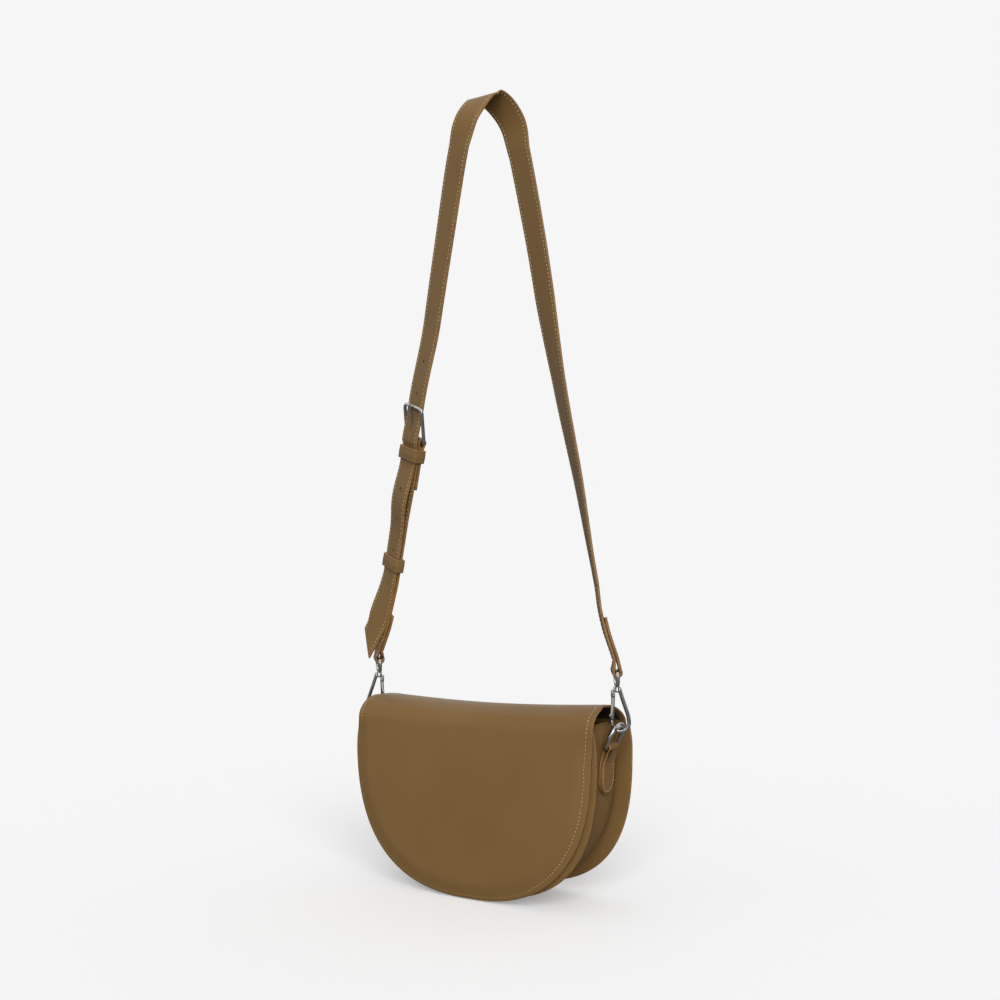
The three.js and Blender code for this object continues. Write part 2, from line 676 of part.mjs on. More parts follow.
function makeGate() {
  const t = 1.3;
  const outline = [
    ...arc2(PIN_U, PIN_Z, 1.5, 0, 180, 8),
    [PIN_U - 1.4, PIN_Z - 3],
    [GATE_U - 1.3, GATE_END + 4],
    [GATE_U - 2.6, GATE_END + 3.2],
    [GATE_U - 2.5, GATE_END + 1.8],
    [GATE_U - 1.3, GATE_END + 1.2],
    [GATE_U - 1.2, GATE_END],
    [GATE_U + 1.4, GATE_END],
    [PIN_U + 1.4, PIN_Z - 3],
  ];
  const bore = rod(PIN_R + PIN_RUN, -4, 4, 24).rotate([90, 0, 0]).translate([PIN_U, 0, PIN_Z]);
  return plate(outline, -t, t).subtract(bore);
}

const makePin = () => rod(PIN_R, -2.9, 2.9).rotate([90, 0, 0]).translate([PIN_U, 0, PIN_Z]);

// Tabs and rings, right side

function makeRing(lean) {
  const hw = RING_INNER / 2 + RING_WIRE;
  const up = v3(Math.sin(rad(lean)), 0, Math.cos(rad(lean)));
  const o = v3(RING_BAR_X, 0, RING_BAR_Z);
  const flat = [
    ...degs(0, 180, 16).map((d) => [hw * Math.cos(rad(d)), RING_H - hw + hw * Math.sin(rad(d))]),
    ...degs(180, 270, 4).map((d) => [-hw + 2.5 + 2.5 * Math.cos(rad(d)), 2.5 + 2.5 * Math.sin(rad(d))]),
    ...degs(270, 360, 4).map((d) => [hw - 2.5 + 2.5 * Math.cos(rad(d)), 2.5 + 2.5 * Math.sin(rad(d))]),
  ];
  const pts = flat.map(([y, h]) => o.clone().add(v3(0, y, 0)).addScaledVector(up, h));
  const normal = v3(0, 1, 0).cross(up);
  return sweep(flatFrames(pts, normal, true), circle(RING_WIRE, 10), true);
}

function makeTab() {
  const r = RING_WIRE + GAP + TAB_T / 2;
  const inner = (z) => v3(gussetX(z) + GAP + TAB_T / 2, 0, z);
  const outer = (z) => v3(gussetX(z) + GAP + TAB_T * 1.5 + LAYER_GAP, 0, z);
  const at = (d) => v3(RING_BAR_X + r * Math.cos(rad(d)), 0, RING_BAR_Z + r * Math.sin(rad(d)));
  const pts = [
    ...[TAB_END, TAB_END + 8, TAB_END + 16, TAB_END + 22].map(inner),
    ...degs(190, -35, 12).map(at),
    ...[TAB_END + 21, TAB_END + 16, TAB_END + 8, TAB_END].map(outer),
  ];
  const strip = sweep(flatFrames(pts, v3(0, 1, 0)), chamferedRect(TAB_T, TAB_W, 0.4));
  const half = TAB_W / 2;
  const end = [
    ...degs(180, 360, 12).map((d) => [half * Math.cos(rad(d)), TAB_END + half + half * Math.sin(rad(d))]),
    [half, 0],
    [-half, 0],
  ];
  return strip.intersect(beam(end, 80, 130));
}

// Body

// How far the gusset lies inside the body's edge at depth y.
function webInset(y) {
  if (y < -GUSSET_FLAT) {
    const k = (y - yFrontIn) / (-GUSSET_FLAT - yFrontIn);
    return GUSSET_FRONT_INSET + (GUSSET_MID_INSET - GUSSET_FRONT_INSET) * k;
  }
  if (y > GUSSET_FLAT) {
    const k = (y - GUSSET_FLAT) / (yIn - GUSSET_FLAT);
    return GUSSET_MID_INSET + (GUSSET_BACK_INSET - GUSSET_MID_INSET) * k;
  }
  return GUSSET_MID_INSET;
}

function makeGusset(depth0, depth1, y0, y1, flange) {
  const moon = bodyMoon(0, GUSSET_TOP);
  const frames = moon.map((m) => ({ o: v3(m.x, 0, m.z), a: v3(m.n[0], 0, m.n[1]), b: v3(0, 1, 0) }));
  const t = flange ? depth1 - depth0 : 0;
  const outer = [y0, -GUSSET_FLAT, GUSSET_FLAT, y1].map((y) => [webInset(y) + depth0, y]);
  const inner = [y1 - t, GUSSET_FLAT, -GUSSET_FLAT, y0 + t].map((y) => [webInset(y) + depth1, y]);
  const back = GUSSET_BACK_INSET + flange;
  const front = GUSSET_FRONT_INSET + flange;
  const backLip = flange ? [[back, y1], [back, y1 - t]] : [];
  const frontLip = flange ? [[front, y0 + t], [front, y0]] : [];
  return sweep(frames, [...outer, ...backLip, ...inner, ...frontLip]).subtract(flapRoom());
}

// Room kept for the flap above the mouth.
function flapRoom() {
  const depth = LEATHER + GAP + LINING + GAP;
  const under = archRun(2, 178, 40, depth);
  return beam([...under, [BACK_Y + 30, ARCH_BASE - 3], [BACK_Y + 30, 40], [FLAP_Y - 30, 40], [FLAP_Y - 30, ARCH_BASE - 3]], -140, 140);
}

function makeFlapFront() {
  const [cy, cz] = FOLD_AXIS;
  const r = LEATHER / 2;
  const shoulder = [
    [FLAP_Y, ARCH_BASE - 4],
    ...archRun(0, SPLIT_DEG, 12, 0),
    ...arc2(cy, cz, r, foldAngle + 90, foldAngle - 90, 8).slice(1, -1),
    ...archRun(SPLIT_DEG, 0, 12, LEATHER),
    [FLAP_Y + LEATHER, ARCH_BASE - 4],
  ];
  const moon = outlineOf(halfMoon(0, ARCH_BASE, FLAP_DROP));
  const front = plate(moon, FLAP_Y, FLAP_Y + LEATHER).translate([FLAP_SHIFT, 0, 0]);
  return front.add(beam(shoulder, -FLAP_HALF, FLAP_HALF));
}

function makeFlapTop() {
  const end = arc2(BACK_Y - LEATHER / 2, ARCH_BASE, LEATHER / 2, 0, -180, 8).slice(1, -1);
  const outline = [...archRun(openDeg, 180, 30, 0), ...end, ...archRun(180, openDeg, 30, LEATHER)];
  return beam(outline, -FLAP_HALF, FLAP_HALF);
}

function makeFlapTopLining() {
  const d = LEATHER + GAP;
  const outline = [...archRun(SPLIT_DEG + 14, 150, 24, d), ...archRun(150, SPLIT_DEG + 14, 24, d + LINING)];
  return beam(outline, -FLAP_HALF + 4, FLAP_HALF - 4);
}

function makePocket() {
  const y1 = BACK_Y - LEATHER - GAP - LINING - GAP;
  const hw = POCKET_W / 2;
  const r = 14;
  const low = POCKET_TOP - POCKET_H;
  const edge = (k) => [
    [hw - k, POCKET_TOP + (k ? 5 : 0)],
    ...degs(0, -90, 5).map((d) => [hw - r + (r - k) * Math.cos(rad(d)), low + r + (r - k) * Math.sin(rad(d))]),
    ...degs(-90, -180, 5).map((d) => [-hw + r + (r - k) * Math.cos(rad(d)), low + r + (r - k) * Math.sin(rad(d))]),
    [-hw + k, POCKET_TOP + (k ? 5 : 0)],
  ];
  return plate(edge(0), y1 - 2.6, y1).subtract(plate(edge(1.5), y1 - 1.6, y1 + 1));
}

// Round piece about the y axis from [radius, y] points.
function turned(points) {
  const g = new THREE.LatheGeometry(points.map(([r, y]) => new THREE.Vector2(r, y)), 28);
  return solid(g.translate(0, 0, SNAP_Z));
}

function makeSnapFemale() {
  const y1 = FRONT_Y - GAP;
  const y0 = y1 - SNAP_RING;
  const r0 = SNAP_PLUG_R + 0.5;
  return turned([[r0, y0], [SNAP_R - 0.5, y0], [SNAP_R, y0 + 0.5], [SNAP_R, y1], [r0, y1], [r0, y0]]);
}

function makeSnapMale() {
  const y0 = FLAP_Y + LEATHER + GAP + LINING + GAP;
  const y1 = y0 + SNAP_DISC;
  return turned([[0, y0], [SNAP_R, y0], [SNAP_R, y1], [SNAP_PLUG_R, y1], [SNAP_PLUG_R, y1 + 1.4], [0, y1 + 1.4]]);
}

// Assembly

const bag = new THREE.Group();
bag.name = "half_moon_crossbody_bag";
const shift = [-CREST[0], -CREST[1], -CREST[2] + STRAP_T / 2];

function add(name, body, colour, rough = 0.6, metal = 0) {
  const g = geometryOf(body.translate(shift));
  g.computeVertexNormals();
  const m = new THREE.MeshStandardMaterial({ color: COLOURS[colour], roughness: rough, metalness: metal });
  const mesh = new THREE.Mesh(g, m);
  mesh.name = name;
  bag.add(mesh);
}

const addMetal = (name, body) => add(name, body, "nickel", 0.25, 1);

add("back_panel", plate(outlineOf(bodyMoon(0, ARCH_BASE - LEATHER / 2 - GAP)), BACK_Y - LEATHER, BACK_Y), "leather");
add("front_panel", plate(outlineOf(bodyMoon(FRONT_INSET, FRONT_TOP)), FRONT_Y, FRONT_Y + LEATHER), "leather");
add("gusset", makeGusset(0, GUSSET_T, yFrontIn, yIn, GUSSET_FLANGE), "leather");
add("gusset_lining", makeGusset(GUSSET_T + GAP, GUSSET_T + GAP + LINING, yFrontIn + GUSSET_T + GAP, yIn - GUSSET_T - GAP, 0), "lining");
const frontIn = GUSSET_FRONT_INSET + GUSSET_FLANGE + 1;
const backIn = GUSSET_BACK_INSET + GUSSET_FLANGE + 1;
add("front_lining", plate(outlineOf(bodyMoon(frontIn, FRONT_TOP - 4)), yFrontIn, yFrontIn + LINING), "lining");
add("back_lining", plate(outlineOf(bodyMoon(backIn, ARCH_BASE - 6)), yIn - LINING, yIn), "lining");
add("slip_pocket", makePocket(), "lining");
add("flap_top", makeFlapTop(), "leather");
add("flap_top_lining", makeFlapTopLining(), "lining");
add("flap_front", makeFlapFront(), "leather");
const flapIn = FLAP_Y + LEATHER + GAP;
const flapCloth = plate(outlineOf(halfMoon(4, ARCH_BASE - 3, FLAP_DROP)), flapIn, flapIn + LINING);
add("flap_lining", flapCloth.translate([FLAP_SHIFT, 0, 0]), "lining");
addMetal("snap_female", makeSnapFemale());
addMetal("snap_male", makeSnapMale());

const hookParts = { hook_body: makeClaw(), hook_gate: makeGate(), gate_pin: makePin() };
for (const [side, turn] of [["right", 0], ["left", 180]]) {
  const face = (body) => body.rotate([0, 0, turn]);
  add(side + "_tab", face(makeTab()), "leather");
  addMetal(side + "_ring", face(makeRing(turn ? LEFT_LEAN : RING_LEAN)));
  const eyeTurn = turnAt(turn ? 0 : COURSE_LEN)[0] - 90;
  const eye = turn ? eyeL : eyeR;
  addMetal(side + "_hook_eye", makeEye().rotate([0, 0, eyeTurn]).translate([eye.x, eye.y, eye.z]));
  for (const [name, body] of Object.entries(hookParts)) {
    addMetal(side + "_" + name, face(body.rotate([0, 0, HOOK_TURN]).translate([Math.abs(eye.x), 0, eye.z])));
  }
}

add("strap_long", makeStrapLong(), "leather");
add("strap_short", makeStrapShort(), "leather");
addMetal("buckle_frame", makeBuckle());
addMetal("buckle_prong", makeProng());
add("keeper_fixed", keeper(KEEPER_TOP_S, -M - STRAP_T / 2, TAIL_OFF + STRAP_T / 2), "leather");
add("keeper_sliding", keeper(KEEPER_LOW_S, M - STRAP_T / 2, TAIL_OFF + STRAP_T / 2), "leather");

export default bag;
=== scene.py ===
"""Half moon crossbody bag: smooth leather, sewn edges and polished nickel fittings.

Sizes are in millimetres in the maker's frame, whose zero is the middle of the flap's top on
the line of the hooks. Each finished mesh is moved to metres in the shared frame.
"""
import bisect
import logging
import math
from dataclasses import dataclass, field
from enum import Enum
from typing import Callable, Optional, Sequence

import bmesh
import bpy
from mathutils import Matrix, Vector


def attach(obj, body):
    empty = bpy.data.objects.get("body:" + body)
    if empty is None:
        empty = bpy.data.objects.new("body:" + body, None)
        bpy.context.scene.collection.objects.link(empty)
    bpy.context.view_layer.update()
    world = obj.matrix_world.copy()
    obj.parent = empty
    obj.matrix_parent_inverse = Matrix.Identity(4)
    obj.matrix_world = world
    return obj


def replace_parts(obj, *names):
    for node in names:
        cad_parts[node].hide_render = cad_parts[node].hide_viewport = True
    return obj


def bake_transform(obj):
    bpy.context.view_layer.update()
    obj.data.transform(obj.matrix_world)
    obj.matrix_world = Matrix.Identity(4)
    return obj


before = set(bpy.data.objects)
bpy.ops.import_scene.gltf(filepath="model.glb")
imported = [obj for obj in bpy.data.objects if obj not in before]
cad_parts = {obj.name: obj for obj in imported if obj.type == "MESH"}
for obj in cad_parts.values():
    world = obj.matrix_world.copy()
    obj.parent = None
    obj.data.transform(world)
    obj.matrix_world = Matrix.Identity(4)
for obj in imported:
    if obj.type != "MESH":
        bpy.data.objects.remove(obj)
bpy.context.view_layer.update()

LOG = logging.getLogger("half_moon_bag")
MM = 0.001
MAKER_SHIFT = Vector((7.3, 0.6, -490.0))
TO_FRAME = Matrix.Scale(MM, 4) @ Matrix.Translation(MAKER_SHIFT)
AXIS_Y = Vector((0.0, 1.0, 0.0))
AXIS_Z = Vector((0.0, 0.0, 1.0))
Band = Callable[[int, int], int]
Place = Callable[[float, float, float], Vector]


class Side(Enum):
    """Left and right of the bag, as the turn that carries right pieces there."""

    RIGHT = 0.0
    LEFT = 180.0

    @property
    def word(self) -> str:
        """Start of the side's piece and body names."""
        return self.name.lower()

    @property
    def turn(self) -> Matrix:
        """Turn about the upright axis from the right side to this one."""
        return Matrix.Rotation(math.radians(self.value), 4, "Z")


class Slot(Enum):
    """Material slots of the record."""

    LEATHER = "leather"
    LINING = "lining"
    NICKEL = "nickel"


# Small sums


def smooth(t: float) -> float:
    """Eases a share of 0 to 1 in and out."""
    t = min(max(t, 0.0), 1.0)
    return t * t * (3.0 - 2.0 * t)


def mix(a: float, b: float, t: float) -> float:
    """Value a share t of the way from a to b."""
    return a + (b - a) * t


def steps(first: float, last: float, count: int) -> list[float]:
    """Evenly spaced values, both ends included."""
    return [mix(first, last, i / count) for i in range(count + 1)]


def arc(cx: float, cy: float, r: float, start: float, end: float, count: int) -> list[tuple[float, float]]:
    """Points on a flat arc, in degrees.

    Args:
        cx: Centre, first axis.
        cy: Centre, second axis.
        r: Radius.
        start: First angle.
        end: Last angle.
        count: Number of steps.

    Returns:
        The points, both ends included.
    """
    angles = [math.radians(d) for d in steps(start, end, count)]
    return [(cx + r * math.cos(a), cy + r * math.sin(a)) for a in angles]


def round_rect(half_w: float, low: float, high: float, r: float, count: int) -> list[tuple[float, float]]:
    """Closed loop with four round corners."""
    loop = arc(half_w - r, high - r, r, 0, 90, count)
    loop += arc(-half_w + r, high - r, r, 90, 180, count)
    loop += arc(-half_w + r, low + r, r, 180, 270, count)
    return loop + arc(half_w - r, low + r, r, 270, 360, count)


def linear(hex_colour: str) -> tuple[float, float, float, float]:
    """Turns an sRGB hex colour to linear RGBA."""
    parts = [int(hex_colour[i : i + 2], 16) / 255 for i in (1, 3, 5)]
    out = [c / 12.92 if c <= 0.04045 else ((c + 0.055) / 1.055) ** 2.4 for c in parts]
    return (out[0], out[1], out[2], 1.0)


def inward(points: Sequence[Vector]) -> list[Vector]:
    """Offset directions of a closed flat outline, one millimetre in, mitred at corners.

    Args:
        points: Outline in order.

    Returns:
        One direction for each point.
    """
    area = 0.0
    count = len(points)
    for i in range(count):
        a, b = points[i], points[(i + 1) % count]
        area += a.x * b.y - b.x * a.y
    sign = 1.0 if area > 0 else -1.0
    out = []
    for i in range(count):
        e1 = (points[i] - points[i - 1]).normalized()
        e2 = (points[(i + 1) % count] - points[i]).normalized()
        n1 = Vector((-e1.y, e1.x)) * sign
        n2 = Vector((-e2.y, e2.x)) * sign
        out.append((n1 + n2) / (1.0 + n1.dot(n2)))
    return out


def mirrored(points: Sequence[Vector]) -> list[Vector]:
    """The same flat points across the middle line, in reverse order."""
    return [Vector((-p.x, p.y)) for p in reversed(points)]


def run_lengths(points: Sequence[Vector]) -> list[float]:
    """Length along a line at each of its points."""
    out = [0.0]
    for a, b in zip(points, points[1:]):
        out.append(out[-1] + (b - a).length)
    return out


def on_line(lengths: Sequence[float], s: float) -> tuple[int, float]:
    """Far point of the segment at a length along a line, and the share of the segment."""
    i = min(max(bisect.bisect_right(lengths, s), 1), len(lengths) - 1)
    return i, (s - lengths[i - 1]) / max(lengths[i] - lengths[i - 1], 1e-9)


def around(points: Sequence[Vector], i: int) -> Vector:
    """Direction of an open line at one of its points."""
    return (points[min(i + 1, len(points) - 1)] - points[max(i - 1, 0)]).normalized()


def spaced(points: Sequence[Vector], pitch: float, lead: float) -> list[tuple[Vector, Vector]]:
    """Even places along an open line.

    Args:
        points: The line, flat or in space.
        pitch: Distance from one place to the next.
        lead: Length left bare at each end.

    Returns:
        Place and direction of each.
    """
    lengths = run_lengths(points)
    room = lengths[-1] - 2.0 * lead
    count = max(1, int(room / pitch))
    out = []
    for k in range(count + 1):
        i, t = on_line(lengths, lead + room * k / count)
        a, b = points[i - 1], points[i]
        out.append((a.lerp(b, t), (b - a).normalized()))
    return out


# Making meshes

WIRE_SIDES = 14
DOME = ((0.45, 0.86), (0.85, 0.45))  # height and radius of a wire's end, as shares of its radius
STITCH_RISE = 0.42  # half height of a stitch, as a share of its thickness
MERGE = 1e-4


def link(name: str, data: bpy.types.ID) -> bpy.types.Object:
    """Makes an object of a mesh, lamp or camera and puts it in the scene."""
    obj = bpy.data.objects.new(name, data)
    bpy.context.scene.collection.objects.link(obj)
    return obj


class Workpiece:
    """A mesh in the making, in millimetres of the maker's frame."""

    def __init__(self) -> None:
        """Starts an empty mesh."""
        self.bm = bmesh.new()

    def ring(self, points: Sequence[Vector]) -> dict:
        """Makes a closed loop of vertices and edges to extrude from.

        Args:
            points: Places of the vertices, in order.

        Returns:
            Index of each vertex in the loop.
        """
        verts = [self.bm.verts.new(p) for p in points]
        for a, b in zip(verts, verts[1:] + verts[:1]):
            self.bm.edges.new((a, b))
        return {v: i for i, v in enumerate(verts)}

    def step(self, loop: dict, points: Sequence[Vector], slot: Callable[[int], int]) -> dict:
        """Extrudes a loop and moves the new one to its place.

        Args:
            loop: Index of each vertex in the loop.
            points: Places of the new loop.
            slot: Material index of the face at each segment.

        Returns:
            The new loop.
        """
        edges = [e for v in loop for e in v.link_edges if e.other_vert(v) in loop]
        made = bmesh.ops.extrude_edge_only(self.bm, edges=list(set(edges)))["geom"]
        fresh = {}
        for v in made:
            if isinstance(v, bmesh.types.BMVert):
                old = next(e.other_vert(v) for e in v.link_edges if e.other_vert(v) in loop)
                fresh[v] = loop[old]
        for v, i in fresh.items():
            v.co = points[i]
        count = len(points)
        for f in made:
            if isinstance(f, bmesh.types.BMFace):
                ids = sorted(loop[v] for v in f.verts if v in loop)
                f.material_index = slot(ids[1] if ids[1] - ids[0] == count - 1 else ids[0])
        return fresh

    def cap(self, loop: dict) -> None:
        """Closes a loop with one face."""
        edges = {e for v in loop for e in v.link_edges if e.other_vert(v) in loop}
        for f in bmesh.ops.edgeloop_fill(self.bm, edges=list(edges))["faces"]:
            f.material_index = 0

    def loft(
        self, rings: Sequence[Sequence[Vector]], band: Optional[Band] = None, closed: bool = False
    ) -> None:
        """Skins a row of loops.

        Args:
            rings: Loops with the same number of points.
            band: Material index by ring and segment.
            closed: True where the last loop runs into the first, and False for capped ends.
        """
        slot = band or (lambda k, i: 0)
        loop = self.ring(rings[0])
        if not closed:
            self.cap(loop)
        rest = list(rings[1:]) + ([rings[0]] if closed else [])
        for k, points in enumerate(rest):
            loop = self.step(loop, points, lambda i, k=k: slot(k, i))
        if not closed:
            self.cap(loop)

    def sweep(
        self,
        path: Sequence[Vector],
        section: Callable[[int], Sequence[tuple[float, float]]],
        across: Sequence[Vector],
        closed: bool = False,
        band: Optional[Band] = None,
    ) -> None:
        """Carries a section along a path.

        Args:
            path: Points of the path.
            section: Outline at each point, across and out.
            across: Direction of the section's first axis at each point.
            closed: True for a ring.
            band: Material index by station and segment.
        """
        count = len(path)
        rings = []
        for i, o in enumerate(path):
            ahead = path[(i + 1) % count] if closed else path[min(i + 1, count - 1)]
            behind = path[i - 1] if closed else path[max(i - 1, 0)]
            t = (ahead - behind).normalized()
            a = (across[i] - t * across[i].dot(t)).normalized()
            b = a.cross(t)
            rings.append([o + a * p + b * q for p, q in section(i)])
        self.loft(rings, band, closed)

    def wire(
        self,
        path: Sequence[Vector],
        radius: Callable[[int], float],
        normal: Vector,
        closed: bool = False,
    ) -> None:
        """Carries a round section along a flat path, with domed ends where it is open."""
        pts = list(path)
        radii = [radius(i) for i in range(len(pts))]
        if not closed:
            for end, inner, at in ((pts[0], pts[1], 0), (pts[-1], pts[-2], len(pts))):
                out = (end - inner).normalized()
                r = radii[0] if at == 0 else radii[-1]
                dome = [(end + out * r * far, r * share) for far, share in DOME]
                if at == 0:
                    pts = [dome[1][0], dome[0][0]] + pts
                    radii = [dome[1][1], dome[0][1]] + radii
                else:
                    pts += [dome[0][0], dome[1][0]]
                    radii += [dome[0][1], dome[1][1]]
        unit = arc(0, 0, 1, 0, 360, WIRE_SIDES)[:-1]
        across = [normal] * len(pts)
        self.sweep(pts, lambda i: [(p * radii[i], q * radii[i]) for p, q in unit], across, closed)

    def turned(self, profile: Sequence[Vector], centre: Vector, axis: Vector, sides: int = 40) -> None:
        """Spins a closed profile about an axis.

        Args:
            profile: Points of the profile, which starts and ends on the axis or closes on itself.
            centre: A point on the axis.
            axis: Direction of the axis.
            sides: Steps of the full turn.
        """
        verts = [self.bm.verts.new(p) for p in profile]
        edges = [self.bm.edges.new(pair) for pair in zip(verts, verts[1:])]
        bmesh.ops.spin(
            self.bm,
            geom=verts + edges,
            cent=centre,
            axis=axis,
            angle=2 * math.pi,
            steps=sides,
            use_merge=True,
        )

    def block(self, low: Vector, high: Vector, bevel: float) -> None:
        """Makes a box with rounded edges between two corners."""
        size = high - low
        at = Matrix.Translation((low + high) / 2) @ Matrix.Diagonal((size.x, size.y, size.z, 1.0))
        made = bmesh.ops.create_cube(self.bm, size=1.0, matrix=at)["verts"]
        edges = list({e for v in made for e in v.link_edges})
        bmesh.ops.bevel(
            self.bm,
            geom=edges,
            offset=bevel,
            offset_type="OFFSET",
            affect="EDGES",
            segments=3,
            profile=0.5,
            material=-1,
        )

    def stitch(
        self, at: Vector, along: Vector, out: Vector, size: tuple[float, float], slot: int = 0
    ) -> None:
        """Sets one stitch of thread.

        Args:
            at: Middle of the stitch, on the leather.
            along: Direction of the row.
            out: Out of the leather.
            size: Length of the stitch and thickness of the thread.
            slot: Material index.
        """
        length, width = size
        side = out.cross(along).normalized()
        up = along.cross(side).normalized()
        turn = Matrix((along, side, up)).transposed().to_4x4()
        scale = Matrix.Diagonal((length / 2, width / 2, width * STITCH_RISE, 1.0))
        made = bmesh.ops.create_icosphere(
            self.bm, subdivisions=1, radius=1.0, matrix=Matrix.Translation(at) @ turn @ scale
        )
        if slot:
            for f in {f for v in made["verts"] for f in v.link_faces}:
                f.material_index = slot

    def move(self, matrix: Matrix) -> None:
        """Moves all that has been made so far."""
        bmesh.ops.transform(self.bm, matrix=matrix, verts=self.bm.verts)

    def done(self, name: str, finishes: Sequence["Finish"], slot: Slot) -> bpy.types.Object:
        """Closes the mesh and makes it an object.

        Args:
            name: Name of the piece.
            finishes: Its finishes, in the order of their material indices.
            slot: Not used.

        Returns:
            The new object, at the origin, in metres.
        """
        bmesh.ops.remove_doubles(self.bm, verts=self.bm.verts, dist=MERGE)
        bmesh.ops.recalc_face_normals(self.bm, faces=self.bm.faces)
        self.move(TO_FRAME)
        for f in self.bm.faces:
            f.smooth = True
        mesh = bpy.data.meshes.new(name)
        self.bm.to_mesh(mesh)
        self.bm.free()
        for finish in finishes:
            mesh.materials.append(finish.material())
        obj = link(name, mesh)
        LOG.info("%s: %d faces", name, len(mesh.polygons))
        return obj


def crisp(obj: bpy.types.Object, degrees: float = 50.0) -> None:
    """Keeps edges sharper than an angle crisp on a smooth piece."""
    obj.data.set_sharp_from_angle(angle=math.radians(degrees))


# Finishes


def add_node(
    tree: bpy.types.NodeTree, kind: str, inputs: Optional[dict] = None, ramp: tuple = (), **settings: object
) -> bpy.types.Node:
    """Adds one node with its settings and links.

    Args:
        tree: Node tree of the material.
        kind: Type name of the node.
        inputs: Socket names with a value or the output that feeds them.
        ramp: Places and hex colours of a colour ramp's two ends.
        settings: Properties of the node.

    Returns:
        The node.
    """
    node = tree.nodes.new(kind)
    for key, value in settings.items():
        setattr(node, key, value)
    for key, value in (inputs or {}).items():
        if isinstance(value, bpy.types.NodeSocket):
            tree.links.new(value, node.inputs[key])
        else:
            node.inputs[key].default_value = value
    for k, (at, tone) in enumerate(ramp):
        node.color_ramp.elements[k].position = at
        node.color_ramp.elements[k].color = linear(tone)
    return node


def blank(name: str) -> bpy.types.Material:
    """Makes a material with an empty node tree."""
    made = bpy.data.materials.new(name)
    made.use_nodes = True
    made.node_tree.nodes.clear()
    return made


def per_metre(millimetres: float) -> float:
    """Texture scale on Object coordinates for a pattern of a real size."""
    return 1.0 / (millimetres * MM)


class Finish:
    """A finish that makes its material once."""

    name = "finish"

    def material(self) -> bpy.types.Material:
        """Gives the material, made on first use."""
        known = bpy.data.materials.get(self.name)
        if known:
            return known
        made = blank(self.name)
        shader = self.shade(made.node_tree)
        add_node(made.node_tree, "ShaderNodeOutputMaterial", {"Surface": shader.outputs["BSDF"]})
        return made

    def shade(self, tree: bpy.types.NodeTree) -> bpy.types.Node:
        """Builds the shader."""
        raise NotImplementedError


@dataclass(frozen=True)
class Leather(Finish):
    """Smooth pigmented leather, plated and lightly waxed: even colour, fine pebble, soft sheen."""

    name: str = "smooth_pigmented_leather"
    colour: str = "#7E6139"
    deep: str = "#795D36"
    pebble_mm: float = 1.3  # real pebble is near 0.6 mm, drawn coarser so that it shows
    fine_mm: float = 1.3 * 0.4
    cloud_mm: float = 60.0
    roughness: float = 0.5
    bump: float = 0.13

    def shade(self, tree: bpy.types.NodeTree) -> bpy.types.Node:
        """Builds cloudy colour, pebble relief and uneven gloss."""
        place = add_node(tree, "ShaderNodeTexCoord").outputs["Object"]
        cloud = add_node(
            tree, "ShaderNodeTexNoise", {"Vector": place, "Scale": per_metre(self.cloud_mm), "Detail": 3.0}
        )
        pebble = add_node(
            tree,
            "ShaderNodeTexVoronoi",
            {"Vector": place, "Scale": per_metre(self.pebble_mm), "Randomness": 0.9},
            feature="SMOOTH_F1",
        )
        fine = add_node(
            tree, "ShaderNodeTexNoise", {"Vector": place, "Scale": per_metre(self.fine_mm), "Detail": 2.0}
        )
        tone = add_node(
            tree, "ShaderNodeMapRange", {"Value": cloud.outputs["Fac"], "From Min": 0.32, "From Max": 0.68}
        )
        colour = add_node(
            tree,
            "ShaderNodeValToRGB",
            {"Fac": tone.outputs["Result"]},
            ramp=((0.0, self.deep), (1.0, self.colour)),
        )
        height = add_node(
            tree, "ShaderNodeMath", {0: pebble.outputs["Distance"], 1: fine.outputs["Fac"]}, operation="ADD"
        )
        relief = add_node(
            tree, "ShaderNodeBump", {"Height": height.outputs[0], "Strength": self.bump, "Distance": 0.0002}
        )
        gloss = add_node(
            tree,
            "ShaderNodeMapRange",
            {
                "Value": fine.outputs["Fac"],
                "From Min": 0.3,
                "From Max": 0.7,
                "To Min": self.roughness - 0.05,
                "To Max": self.roughness + 0.06,
            },
        )
        return add_node(
            tree,
            "ShaderNodeBsdfPrincipled",
            {
                "Base Color": colour.outputs["Color"],
                "Roughness": gloss.outputs["Result"],
                "Normal": relief.outputs["Normal"],
                "IOR": 1.48,
                "Specular IOR Level": 0.2,
            },
        )


@dataclass(frozen=True)
class EdgePaint(Finish):
    """Painted leather edge: rounded, warm and a little glossier than the grain side."""

    name: str = "painted_leather_edge"
    colour: str = "#8F6A3E"
    worn: str = "#7E5A31"
    patch_mm: float = 6.0
    roughness: float = 0.42

    def shade(self, tree: bpy.types.NodeTree) -> bpy.types.Node:
        """Builds a brushed, slightly uneven paint."""
        place = add_node(tree, "ShaderNodeTexCoord").outputs["Object"]
        patch = add_node(
            tree, "ShaderNodeTexNoise", {"Vector": place, "Scale": per_metre(self.patch_mm), "Detail": 2.0}
        )
        ramp = add_node(
            tree,
            "ShaderNodeValToRGB",
            {"Fac": patch.outputs["Fac"]},
            ramp=((0.35, self.worn), (0.65, self.colour)),
        )
        relief = add_node(
            tree, "ShaderNodeBump", {"Height": patch.outputs["Fac"], "Strength": 0.15, "Distance": 0.0002}
        )
        return add_node(
            tree,
            "ShaderNodeBsdfPrincipled",
            {
                "Base Color": ramp.outputs["Color"],
                "Roughness": self.roughness,
                "Normal": relief.outputs["Normal"],
                "IOR": 1.48,
                "Specular IOR Level": 0.3,
            },
        )


